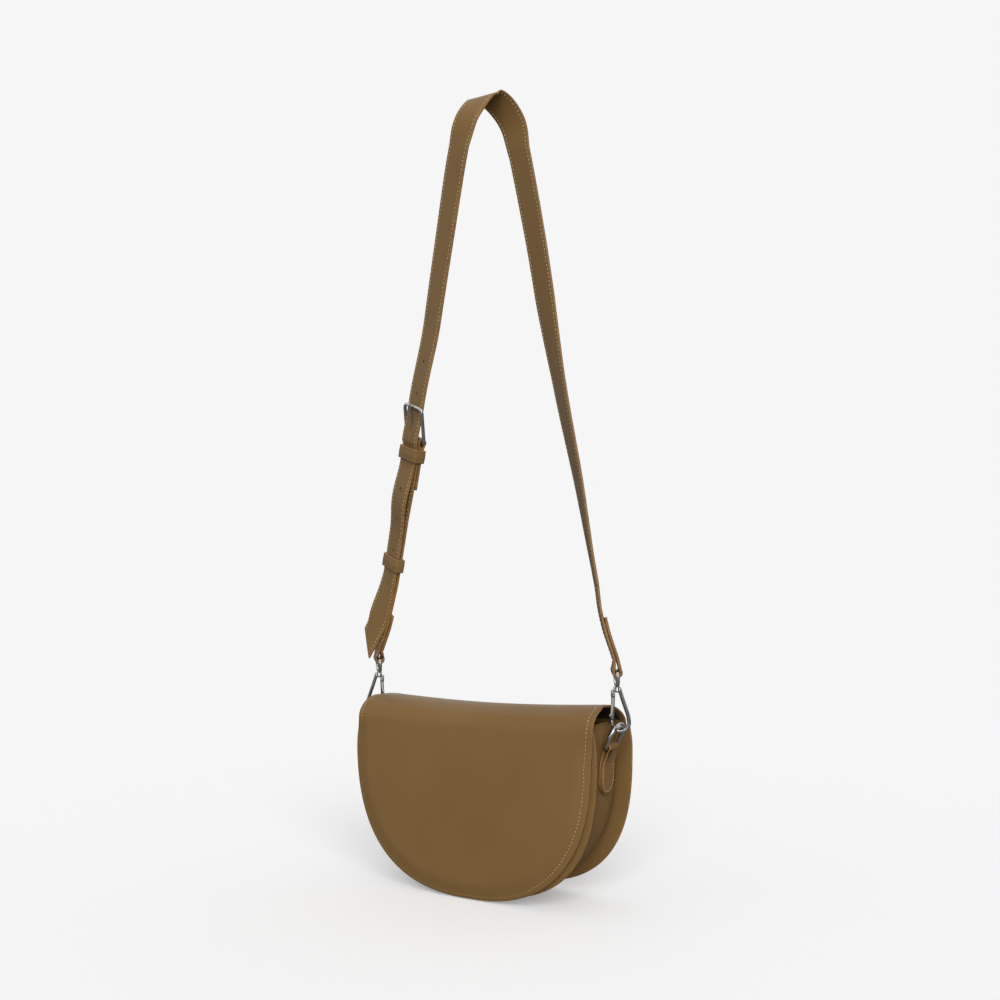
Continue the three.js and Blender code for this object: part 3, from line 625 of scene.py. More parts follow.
@dataclass(frozen=True)
class Thread(Finish):
    """Bonded polyester sewing thread: matt, twisted, paler than the leather."""

    name: str = "bonded_polyester_thread"
    colour: str = "#CDB488"
    shade_colour: str = "#A4875A"
    twist_mm: float = 0.9  # a real twist is near 0.4 mm, drawn coarser so that it shows
    roughness: float = 0.62

    def shade(self, tree: bpy.types.NodeTree) -> bpy.types.Node:
        """Builds pale and dark turns of the twist."""
        place = add_node(tree, "ShaderNodeTexCoord").outputs["Object"]
        twist = add_node(
            tree,
            "ShaderNodeTexNoise",
            {"Vector": place, "Scale": per_metre(self.twist_mm), "Detail": 1.0},
        )
        ramp = add_node(
            tree,
            "ShaderNodeValToRGB",
            {"Fac": twist.outputs["Fac"]},
            ramp=((0.25, self.shade_colour), (0.6, self.colour)),
        )
        return add_node(
            tree,
            "ShaderNodeBsdfPrincipled",
            {"Base Color": ramp.outputs["Color"], "Roughness": self.roughness, "IOR": 1.5},
        )


@dataclass(frozen=True)
class LiningCloth(Finish):
    """Cotton twill lining: matt, with a diagonal weave; its dark colour is partly its own and partly painted
    shade of the bag's inside.
    """

    name: str = "cotton_twill_lining"
    # Dark brown, partly the cloth's own colour and partly painted shade of the bag's inside
    colour: str = "#3E3325"
    # Painted shade in the grooves between the ribs
    gap: str = "#2C241A"
    rib_mm: float = 1.1  # a real rib is near 0.5 mm, drawn coarser so that it shows
    roughness: float = 0.85

    def shade(self, tree: bpy.types.NodeTree) -> bpy.types.Node:
        """Builds diagonal ribs with slubs, with painted shade between the ribs."""
        place = add_node(tree, "ShaderNodeTexCoord").outputs["Object"]
        slant = (0.0, math.radians(45.0), 0.0)
        turn = add_node(tree, "ShaderNodeMapping", {"Vector": place, "Rotation": slant})
        # A wave of scale 1 has its bands 2 pi / 20 apart
        rib = add_node(
            tree,
            "ShaderNodeTexWave",
            {
                "Vector": turn.outputs["Vector"],
                "Scale": per_metre(self.rib_mm) * math.pi / 10.0,
                "Distortion": 1.2,
                "Detail": 2.0,
                "Detail Scale": 2.0,
            },
            bands_direction="X",
        )
        # Ramp from the painted shade between the ribs to the cloth's colour
        ramp = add_node(
            tree,
            "ShaderNodeValToRGB",
            {"Fac": rib.outputs["Fac"]},
            ramp=((0.0, self.gap), (1.0, self.colour)),
        )
        relief = add_node(
            tree, "ShaderNodeBump", {"Height": rib.outputs["Fac"], "Strength": 0.3, "Distance": 0.0002}
        )
        return add_node(
            tree,
            "ShaderNodeBsdfPrincipled",
            {
                "Base Color": ramp.outputs["Color"],
                "Roughness": self.roughness,
                "Normal": relief.outputs["Normal"],
                "Specular IOR Level": 0.15,
            },
        )


@dataclass(frozen=True)
class Nickel(Finish):
    """Polished nickel plate on die cast zinc: bright, faintly warm, with fine polishing haze."""

    name: str = "polished_nickel_plate"
    colour: str = "#BDBBB6"
    haze_mm: float = 3.0
    roughness: float = 0.13

    def shade(self, tree: bpy.types.NodeTree) -> bpy.types.Node:
        """Builds a mirror with uneven polish."""
        place = add_node(tree, "ShaderNodeTexCoord").outputs["Object"]
        haze = add_node(
            tree, "ShaderNodeTexNoise", {"Vector": place, "Scale": per_metre(self.haze_mm), "Detail": 4.0}
        )
        gloss = add_node(
            tree,
            "ShaderNodeMapRange",
            {
                "Value": haze.outputs["Fac"],
                "From Min": 0.3,
                "From Max": 0.7,
                "To Min": self.roughness - 0.04,
                "To Max": self.roughness + 0.07,
            },
        )
        return add_node(
            tree,
            "ShaderNodeBsdfPrincipled",
            {"Base Color": linear(self.colour), "Metallic": 1.0, "Roughness": gloss.outputs["Result"]},
        )


LEATHER = Leather()
EDGE = EdgePaint()
THREAD = Thread()
CLOTH = LiningCloth()
NICKEL = Nickel()
SEWN = (LEATHER, EDGE)


# Flat pieces

EDGE_TURNS = (15, 40, 65, 90)  # degrees round a sheet's edge at which a ring lies
GROOVE_STEPS = ((1.1, 0.0), (0.5, 0.5), (0.0, 1.0), (-0.5, 0.5), (-1.1, 0.0))
EDGE_DEPTH = 0.3  # depth from which a sheet's edge is painted


@dataclass(frozen=True)
class SheetCut:
    """How a sheet's face and edge are stepped from its middle to its rim."""

    thickness: float = 2.0
    rings: int = 22
    rim: float = 6.0
    groove_at: float = 3.8
    groove: float = 0.22
    edge_round: float = 0.9

    def face(self) -> list[tuple[float, float]]:
        """Insets and depths of the rim, from inside to the edge."""
        rows = []
        if self.groove:
            rows = [(self.groove_at + away, self.groove * share) for away, share in GROOVE_STEPS]
        r = self.edge_round
        for deg in reversed(EDGE_TURNS):
            a = math.radians(deg)
            rows.append((r - r * math.cos(a), r - r * math.sin(a)))
        return rows

    def rows(self) -> list[tuple[float, float, float, int]]:
        """Scale, inset, depth and material of each ring, from face to face."""
        inner = [(mix(0.02, 1.0, k / self.rings), self.rim, 0.0, 0) for k in range(self.rings + 1)]
        rim = [(1.0, inset, depth, 1 if depth > EDGE_DEPTH else 0) for inset, depth in self.face()]
        back = []
        r = self.edge_round
        for deg in EDGE_TURNS:
            a = math.radians(deg)
            depth = self.thickness - r + r * math.sin(a)
            back.append((1.0, r - r * math.cos(a), depth, 1 if deg < 90 else 0))
        far = [(s, inset, self.thickness, 0) for s, inset, _, _ in reversed(inner)]
        return inner + rim + back + far


def make_sheet(
    work: Workpiece, outline: Sequence[Vector], cut: SheetCut, centre: Vector, place: Place
) -> None:
    """Makes a sheet of leather or cloth from its flat outline.

    Args:
        work: Mesh to add to.
        outline: Closed flat outline.
        cut: Steps across the sheet.
        centre: Point of the outline that the rings close on.
        place: Gives the place of a flat point at a depth under the face.
    """
    push = inward(outline)
    rings, slots = [], []
    for scale, inset, depth, slot in cut.rows():
        flat = [centre + (p + n * inset - centre) * scale for p, n in zip(outline, push)]
        rings.append([place(p.x, p.y, depth) for p in flat])
        slots.append(slot)
    work.loft(rings, lambda k, i: max(slots[k], slots[min(k + 1, len(slots) - 1)]) if slots[k] else 0)


CLOTH_RIM = {"rim": 3.0, "groove": 0.0, "edge_round": 0.25}
CORNER_ROOM = 7.0  # bare length beside a corner, so that rim rings keep their order
BOW_STEPS = 110


def side_heights(top: float, low: float, count: int) -> list[float]:
    """Heights of a side's points from its top corner down to a line, which is left out."""
    return [z for z in steps(top, low, count)[:-1] if z == top or top - z > CORNER_ROOM]


def top_edge(half: float, top: float) -> list[Vector]:
    """Points of a straight top edge between its corners, from left to right."""
    span = steps(-half, half, max(4, round(half / 2.5)))
    return [Vector((x, top)) for x in span if abs(x) < half - CORNER_ROOM]


@dataclass(frozen=True)
class HalfMoon:
    """Outline of the half moon, in x and z."""

    width: float = 220.0
    height: float = 155.5
    side_drop: float = 38.5
    top_taper: float = 10.0
    power: float = 2.46

    def half_at(self, z: float) -> float:
        """Half width above the widest line."""
        k = (z + self.side_drop) / self.side_drop
        return self.width / 2 - self.top_taper * k * k

    def bow(self, drop: float, count: int) -> list[Vector]:
        """The round lower edge from right to left."""
        depth = self.height + drop - self.side_drop
        out = []
        for i in range(count + 1):
            t = math.pi * i / count
            c, s = math.cos(t), max(math.sin(t), 0.0)
            x = self.width / 2 * math.copysign(abs(c) ** (2 / self.power), c)
            out.append(Vector((x, -self.side_drop - depth * s ** (2 / self.power))))
        return out

    def sides(self, top: float, step: float) -> list[Vector]:
        """Right side from the top down to the widest line, which is left out."""
        count = max(2, round((top + self.side_drop) / step))
        return [Vector((self.half_at(z), z)) for z in side_heights(top, -self.side_drop, count)]

    def open_line(self, top: float, count: int = BOW_STEPS, step: float = 4.0) -> list[Vector]:
        """Right side, bow and left side as one open line."""
        right = self.sides(top, step)
        return right + self.bow(0.0, count) + mirrored(right)

    def outline(self, top: float, inset: float = 0.0) -> list[Vector]:
        """Closed outline with a straight top edge, set in by an inset."""
        line = self.open_line(top + inset)
        if inset:
            line = [p + n * inset for p, n in zip(line, inward(line))]
            line = [p for p in line if p.y < top - CORNER_ROOM]
            first = Vector((line[0].x - self.slope(top) * 2.0, top))
            line = [first] + line + [Vector((-first.x, top))]
        return line + top_edge(line[0].x, top)

    def slope(self, top: float) -> float:
        """How far the side draws in over the last few millimetres under the top."""
        return (self.half_at(top - CORNER_ROOM) - self.half_at(top)) / 2.0


FLAP_MOON = HalfMoon()
BODY_MOON = HalfMoon(power=2.75)
MIDDLE = Vector((0.0, -80.0))


@dataclass
class BagBody:
    """Back, front, gusset, linings, slip pocket and the fixed half of the snap."""

    back_y: float = 33.0
    front_y: float = -30.5
    leather: float = 2.0
    gap: float = 0.3
    cloth: float = 0.6
    arch_base: float = -20.0
    front_top: float = -14.0
    back_bulge: float = 0.8
    front_bulge: float = 0.6
    gusset_t: float = 1.6
    web_insets: tuple[float, float, float] = (4.5, 7.5, 14.0)
    flange: float = 7.0
    web_flat: float = 9.0
    pocket: tuple[float, float, float] = (130.0, 78.0, -42.0)
    snap_z: float = -122.0
    snap_r: float = 9.0
    plug_r: float = 3.7
    swell_half: float = 104.0  # half width over which a panel bulges
    swell_z: tuple[float, float] = (-88.0, 68.0)  # middle and half height of the bulge
    end_drop: tuple[float, float] = (1.2, 5.4)  # gusset's ends under its line, and more to the back
    stitch_pitch: float = 3.0
    stitch: tuple[float, float] = (2.1, 0.75)

    def panel_place(self, y: float, out: float, bulge: float) -> Place:
        """Places a flat point of a panel.

        Args:
            y: Outer face of the panel.
            out: Direction of its outer face, 1 to the back and -1 to the front.
            bulge: How far its middle stands out.

        Returns:
            Function from flat x, z and depth to space.
        """

        def place(x: float, z: float, depth: float) -> Vector:
            mid, tall = self.swell_z
            swell = max(0.0, 1.0 - (x / self.swell_half) ** 2) * max(0.0, 1.0 - ((z - mid) / tall) ** 2)
            return Vector((x, y + out * (bulge * swell - depth), z))

        return place

    def row(
        self, work: Workpiece, line: Sequence[Vector], place: Place, out: float, depth: float, slot: int = 0
    ) -> None:
        """Sews a row of stitches along a flat line.

        Args:
            work: Mesh to add to.
            line: Flat line of the row.
            place: Gives the place of a flat point.
            out: Side that the row is on, 1 to the back and -1 to the front.
            depth: Depth of the stitches under the face.
            slot: Material index.
        """
        for p, d in spaced(line, self.stitch_pitch, self.stitch_pitch / 2):
            a = place(p.x - d.x, p.y - d.y, depth)
            b = place(p.x + d.x, p.y + d.y, depth)
            work.stitch((a + b) / 2, (b - a).normalized(), Vector((0.0, out, 0.0)), self.stitch, slot)

    def panels(self) -> None:
        """Makes the back panel with its stitch row, and the front panel, which is sewn from inside."""
        top = self.arch_base - self.leather / 2 - self.gap
        low = self.front_top - 1.6
        for name, y, out, bulge, edge_top, inset, cut in (
            ("back_panel", self.back_y, 1.0, self.back_bulge, top, 0.0, SheetCut()),
            ("front_panel", self.front_y, -1.0, self.front_bulge, low, 0.4, SheetCut(groove=0.0)),
        ):
            place = self.panel_place(y, out, bulge)
            work = Workpiece()
            make_sheet(work, BODY_MOON.outline(edge_top, inset), cut, MIDDLE, place)
            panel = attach(work.done(name + "_leather", SEWN, Slot.LEATHER), "bag")
            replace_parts(panel, name)
            if not cut.groove:
                continue
            sewn = BODY_MOON.outline(edge_top - 3.0, inset + cut.groove_at)
            sewn = sewn[: -len(top_edge(sewn[0].x, edge_top))]
            work = Workpiece()
            self.row(work, sewn, place, out, 0.1)
            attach(work.done(name + "_stitches", (THREAD,), Slot.LEATHER), "bag")

    def web_inset(self, y: float) -> float:
        """How far the gusset lies inside the body's edge at a depth."""
        front, mid, back = self.web_insets
        y0 = self.front_y + self.leather + self.gap
        y1 = self.back_y - self.leather - self.gap
        if y < -self.web_flat:
            t = (y - y0) / (-self.web_flat - y0)
            return mix(front, mid, 0.6 * smooth(t) + 0.4 * t)
        if y > self.web_flat:
            t = (y - self.web_flat) / (y1 - self.web_flat)
            return mix(mid, back, 0.5 * t + 0.5 * t * t)
        return mid

    def web(
        self, name: str, deep: float, thick: float, lip: float, finishes: tuple, slot: Slot
    ) -> bpy.types.Object:
        """Makes the gusset or its lining as one strip round the half moon.

        Args:
            name: Name of the piece.
            deep: Depth of its outer face under the gusset's outer face.
            thick: Its thickness.
            lip: Length of the edges that are turned along the panels.
            finishes: Its finishes.
            slot: Slot of the record.

        Returns:
            The strip.
        """
        y0 = self.front_y + self.leather + self.gap + (deep if not lip else 0.0)
        y1 = self.back_y - self.leather - self.gap - (deep if not lip else 0.0)
        run = [(self.web_inset(y) + deep, y) for y in steps(y0, y1, 26)]
        half = thick / 2
        mid = [Vector((w + half, y)) for w, y in run]
        if lip:
            mid[0].y += half
            mid[-1].y -= half
            front = [Vector((mid[0].x + k, mid[0].y)) for k in (lip, lip * 0.6, 1.6)]
            front.append(Vector((mid[0].x + 0.5, mid[0].y + 0.35)))
            back = [Vector((mid[-1].x + 0.5, mid[-1].y - 0.35))]
            back += [Vector((mid[-1].x + k, mid[-1].y)) for k in (1.6, lip * 0.6, lip)]
            mid[0] += Vector((0.0, 1.2))
            mid[-1] += Vector((0.0, -1.2))
            mid = front + mid + back
        outer, inner = [], []
        for i, p in enumerate(mid):
            d = around(mid, i)
            n = Vector((-d.y, d.x))
            outer.append(p + n * half)
            inner.append(p - n * half)
        section = outer + list(reversed(inner))
        line = BODY_MOON.open_line(self.front_top, 96, 3.0)
        rings = []
        for i, p in enumerate(line):
            d = around(line, i)
            at_end = i in (0, len(line) - 1)
            n = Vector((-math.copysign(1.0, p.x), 0.0)) if at_end else Vector((d.y, -d.x))
            n = n if n.dot(MIDDLE - p) > 0 else -n
            ring = []
            for w, y in section:
                z = p.y + n.y * w
                if at_end:
                    z -= self.end_drop[0] + self.end_drop[1] * smooth((y - 6.0) / 26.0)
                ring.append(Vector((p.x + n.x * w, y, z)))
            rings.append(ring)
        work = Workpiece()
        work.loft(rings)
        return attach(work.done(name, finishes, slot), "bag")

    def linings(self) -> None:
        """Makes the cloth inside the body."""
        y_front = self.front_y + self.leather + self.gap
        y_back = self.back_y - self.leather - self.gap
        front_in = self.web_insets[0] + self.flange + 1.0
        back_in = self.web_insets[2] + self.flange + 1.0
        cut = SheetCut(thickness=self.cloth, rings=12, **CLOTH_RIM)
        for name, y, out, top, inset in (
            ("front_lining", y_front, -1.0, self.front_top - 4.0, front_in),
            ("back_lining", y_back, 1.0, self.arch_base - 2.5, back_in),
        ):
            work = Workpiece()
            place = self.panel_place(y, out, 0.0)
            make_sheet(work, BODY_MOON.outline(top, inset), cut, MIDDLE, place)
            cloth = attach(work.done(name + "_cloth", (CLOTH, CLOTH), Slot.LINING), "bag")
            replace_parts(cloth, name)

    def slip_pocket(self) -> None:
        """Makes the open topped pocket on the back lining, with its hem stitches."""
        width, height, top = self.pocket
        y1 = self.back_y - self.leather - 2 * self.gap - self.cloth
        half, low, r = width / 2, top - height, 14.0
        side = [Vector((half, z)) for z in steps(top, low + r, 8)[:-1]]
        corner = [Vector(p) for p in arc(half - r, low + r, r, 0, -90, 8)]
        floor = [Vector((x, low)) for x in steps(half - r, -half + r, 20)[1:-1]]
        right = side + corner
        line = right + floor + mirrored(right)
        outline = line + top_edge(half, top)

        def place(x: float, z: float, depth: float) -> Vector:
            open_lip = smooth((z - low) / height) * max(0.0, 1.0 - (x / half) ** 2)
            return Vector((x, y1 - 2.6 + depth - 2.4 * open_lip, z))

        work = Workpiece()
        cut = SheetCut(thickness=0.9, rings=14, rim=5.0, groove_at=2.6, groove=0.12, edge_round=0.4)
        make_sheet(work, outline, cut, Vector((0.0, top - height / 2)), place)
        sewn = [p + n * cut.groove_at for p, n in zip(outline, inward(outline))]
        for part in (sewn[1 : len(line) - 1], sewn[len(line) :]):
            self.row(work, part, place, -1.0, 0.05, 2)
        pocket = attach(work.done("slip_pocket_cloth", (CLOTH, CLOTH, THREAD), Slot.LINING), "bag")
        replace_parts(pocket, "slip_pocket")

    def snap(self) -> None:
        """Makes the fixed half of the magnetic snap."""
        y1 = self.front_y - self.gap
        y0 = y1 - 2.0
        r0, r1 = self.plug_r + 0.5, self.snap_r
        rows = [(r0, y1), (r0, y0 + 0.35), (r0 + 0.35, y0), (r0 + 1.2, y0), (r0 + 1.5, y0 + 0.25)]
        rows += [(r1 - 2.4, y0 + 0.25), (r1 - 2.0, y0), (r1 - 0.8, y0), (r1 - 0.25, y0 + 0.22)]
        rows += [(r1, y0 + 0.75), (r1, y1), (r0, y1)]
        work = Workpiece()
        at = Vector((0.0, 0.0, self.snap_z))
        work.turned([Vector((r, y, self.snap_z)) for r, y in rows], at, AXIS_Y)
        snap = work.done("snap_socket_nickel", (NICKEL,), Slot.NICKEL)
        crisp(snap)
        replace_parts(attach(snap, "bag"), "snap_female")

    def build(self) -> None:
        """Builds the body in order."""
        self.panels()
        gusset = self.web("gusset_leather", 0.0, self.gusset_t, self.flange, SEWN, Slot.LEATHER)
        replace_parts(gusset, "gusset")
        deep = self.gusset_t + self.gap
        lining = self.web("gusset_lining_cloth", deep, self.cloth, 0.0, (CLOTH,), Slot.LINING)
        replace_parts(lining, "gusset_lining")
        self.linings()
        self.slip_pocket()
        self.snap()


@dataclass
class Flap:
    """Front, shoulder and top of the flap as one bent sheet, with its lining and snap plug."""

    body: BagBody
    face_y: float = -37.0
    leather: float = 2.0
    gap: float = 0.3
    cloth: float = 0.6
    rise: float = 17.5
    peak: float = 25.0
    powers: tuple[float, float] = (2.05, 2.0)
    lap: float = 1.5
    half: float = 104.8
    shoulder: float = 109.2
    lean: float = -3.5
    tilt: float = 2.4
    drop: float = 3.0
    sag: float = 3.4
    bulge: float = 2.2
    roll: float = 2.6
    roll_span: float = 13.0
    ridge: float = 1.9
    ridge_at: float = -7.0
    ridge_span: float = 3.4
    lift: float = 0.4  # of the whole top
    span_half: float = 106.0  # half width over which it sags and swells
    sag_from: tuple[float, float] = (-46.0, 52.0)  # flat height where the sag sets in, and its length
    sag_rear: float = 26.0
    swell_v: tuple[float, float] = (-86.0, 74.0)  # middle and half height of the front's bulge
    tuck_from: tuple[float, float] = (-14.0, 20.0)
    lean_from: tuple[float, float] = (-12.0, 33.0)
    over: float = 40.0  # length over which lift and tilt set in
    fold_span: tuple[float, float] = (84.0, 10.0)
    stitch_insets: tuple[float, float] = (3.0, 5.0)
    stitch_pitch: float = 3.0
    stitch: tuple[float, float] = (2.1, 0.8)
    centre_v: float = -58.0  # flat height that the sheet's rings close on
    cloth_in: float = 4.0
    arch: list = field(default_factory=list)

    def __post_init__(self) -> None:
        """Measures the arch over the mouth."""
        crown = self.face_y + self.peak
        length = 0.0
        last = None
        for deg in steps(0.0, 180.0, 720):
            a = math.radians(deg)
            c, s = math.cos(a), max(math.sin(a), 0.0)
            reach = self.face_y - crown if c > 0 else self.body.back_y - crown
            power = self.powers[0] if c > 0 else self.powers[1]
            y = crown + reach * abs(c) ** (2 / power)
            here = Vector((y, self.body.arch_base + self.rise * s ** (2 / power)))
            length += (here - last).length if last else 0.0
            last = here
            self.arch.append((length, here, deg))
        end = last - Vector((0.0, self.lap))
        self.arch.append((length + self.lap, end, 181.0))

    @property
    def top(self) -> float:
        """Flat length up to the rear edge."""
        return self.body.arch_base + self.arch[-1][0]

    def profile(self, v: float) -> tuple[Vector, Vector]:
        """Outer face and inward direction in y and z at a flat height."""
        run = v - self.body.arch_base
        if run <= 0:
            return Vector((self.face_y, v)), Vector((1.0, 0.0))
        i = min(max(bisect.bisect_left(self.arch, run, key=lambda row: row[0]), 1), len(self.arch) - 1)
        (s0, a, _), (s1, b, _) = self.arch[i - 1], self.arch[i]
        t = min((run - s0) / (s1 - s0), 1.0)
        near = self.arch[max(i - 8, 0)][1]
        far = self.arch[min(i + 8, len(self.arch) - 1)][1]
        d = (far - near).normalized()
        return a.lerp(b, t), Vector((d.y, -d.x))

    def half_at(self, v: float) -> float:
        """Half width of the flat piece above the widest line."""
        side = FLAP_MOON.width / 2
        front = mix(side, self.shoulder, smooth((v + FLAP_MOON.side_drop) / 40.0))
        return mix(front, self.half, smooth((v - 4.0) / 14.0))

    def rim(self, x: float, v: float) -> float:
        """Distance from a flat point of the front to the flap's edge, nearly."""
        if v >= -FLAP_MOON.side_drop:
            return self.half_at(v) - abs(x)
        depth = FLAP_MOON.height + self.drop - FLAP_MOON.side_drop
        across, down = abs(x) / (FLAP_MOON.width / 2), (-FLAP_MOON.side_drop - v) / depth
        share = (across**FLAP_MOON.power + down**FLAP_MOON.power) ** (1 / FLAP_MOON.power)
        return (1.0 - share) * FLAP_MOON.width / 2

    def place(self, x: float, v: float, depth: float) -> Vector:
        """Bends a flat point over the shoulder, with the sag of the soft top."""
        at, into = self.profile(v)
        span = max(0.0, 1.0 - (x / self.span_half) ** 2)
        soft = smooth((v - self.sag_from[0]) / self.sag_from[1]) * smooth((self.top - v) / self.sag_rear)
        swell = span * max(0.0, 1.0 - ((v - self.swell_v[0]) / self.swell_v[1]) ** 2)
        tuck = smooth(1.0 - self.rim(x, v) / self.roll_span)
        tuck *= smooth((self.tuck_from[0] - v) / self.tuck_from[1])
        crest = self.ridge * math.exp(-(((v - self.ridge_at) / self.ridge_span) ** 2)) * min(span * 3.0, 1.0)
        y = at.x + into.x * depth - self.bulge * swell + self.roll * tuck - crest
        over = smooth((v + self.over) / self.over) * smooth((self.top - v) / self.over)
        z = at.y + into.y * depth - self.sag * span**1.2 * soft
        z += (self.lift + self.tilt * x / self.half) * over
        return Vector((x + self.lean * smooth((self.lean_from[0] - v) / self.lean_from[1]), y, z))

    def outline(self, inset: float = 0.0, top: Optional[float] = None) -> tuple[list[Vector], int]:
        """Flat outline of the sheet.

        Args:
            inset: How far it is set in from the leather's edge.
            top: Flat height of its rear edge.

        Returns:
            The closed outline, and how many of its points are sides and bow.
        """
        end = self.top if top is None else top
        count = round((end + FLAP_MOON.side_drop) / 3.5)
        heights = side_heights(end, -FLAP_MOON.side_drop, count)
        right = [Vector((self.half_at(v), v)) for v in heights]
        line = right + FLAP_MOON.bow(self.drop, BOW_STEPS) + mirrored(right)
        points = line + top_edge(right[0].x, end)
        if inset:
            points = [p + n * inset for p, n in zip(points, inward(points))]
        return points, len(line)

    def bend(self, piece: bpy.types.Object) -> bpy.types.Object:
        """Looks up the arch at the fold span, which is then not used, and bakes the piece's placing into its
        mesh.
        """
        for want in self.fold_span:
            at = next(p for _, p, deg in self.arch if deg >= want)
        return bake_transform(piece)

    def outward(self, v: float) -> Vector:
        """Direction out of the sheet at a flat height."""
        _, into = self.profile(v)
        return Vector((0.0, -into.x, -into.y))

    def sew(self, work: Workpiece, line: Sequence[Vector]) -> None:
        """Sews a row along a flat line."""
        for p, d in spaced(line, self.stitch_pitch, self.stitch_pitch / 2):
            a = self.place(p.x - d.x, p.y - d.y, 0.1)
            b = self.place(p.x + d.x, p.y + d.y, 0.1)
            work.stitch((a + b) / 2, (b - a).normalized(), self.outward(p.y), self.stitch)

    def build(self) -> None:
        """Builds the flap in order."""
        cut = SheetCut(thickness=self.leather, rings=40, groove=0.0)
        centre = Vector((0.0, self.centre_v))
        points, sides = self.outline()
        work = Workpiece()
        make_sheet(work, points, cut, centre, self.place)
        flap = work.done("flap_leather", SEWN, Slot.LEATHER)
        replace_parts(self.bend(flap), "flap_front", "flap_top")

        near, deep = self.stitch_insets
        push = inward(points)
        sewn = [p + n * mix(near, deep, smooth((p.x - 20.0) / 80.0)) for p, n in zip(points, push)]
        work = Workpiece()
        self.sew(work, sewn[1 : sides - 1])
        self.sew(work, sewn[sides:])
        self.bend(work.done("flap_stitches", (THREAD,), Slot.LEATHER))

        under = self.leather + self.gap
        points, _ = self.outline(self.cloth_in, self.top - self.cloth_in)
        cut = SheetCut(thickness=self.cloth, rings=36, **CLOTH_RIM)
        work = Workpiece()
        make_sheet(work, points, cut, centre, lambda x, v, d: self.place(x, v, d + under))
        lining = work.done("flap_lining_cloth", (CLOTH, CLOTH), Slot.LINING)
        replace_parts(self.bend(lining), "flap_lining", "flap_top_lining")
        self.plug()

    def plug(self) -> None:
        """Makes the moving half of the magnetic snap."""
        z, r, p = self.body.snap_z, self.body.snap_r, self.body.plug_r
        y0 = self.face_y + self.leather + 2 * self.gap + self.cloth
        rows = [(0.0, y0), (r, y0), (r, y0 + 0.4), (r - 0.3, y0 + 0.7), (p + 0.5, y0 + 0.7), (p, y0 + 0.9)]
        rows += [(p, y0 + 1.7), (p - 0.4, y0 + 2.1), (0.0, y0 + 2.1)]
        work = Workpiece()
        work.turned([Vector((a, y, z)) for a, y in rows], Vector((0.0, 0.0, z)), AXIS_Y)
        plug = work.done("snap_plug_nickel", (NICKEL,), Slot.NICKEL)
        crisp(plug)
        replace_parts(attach(plug, "flap_front"), "snap_male")


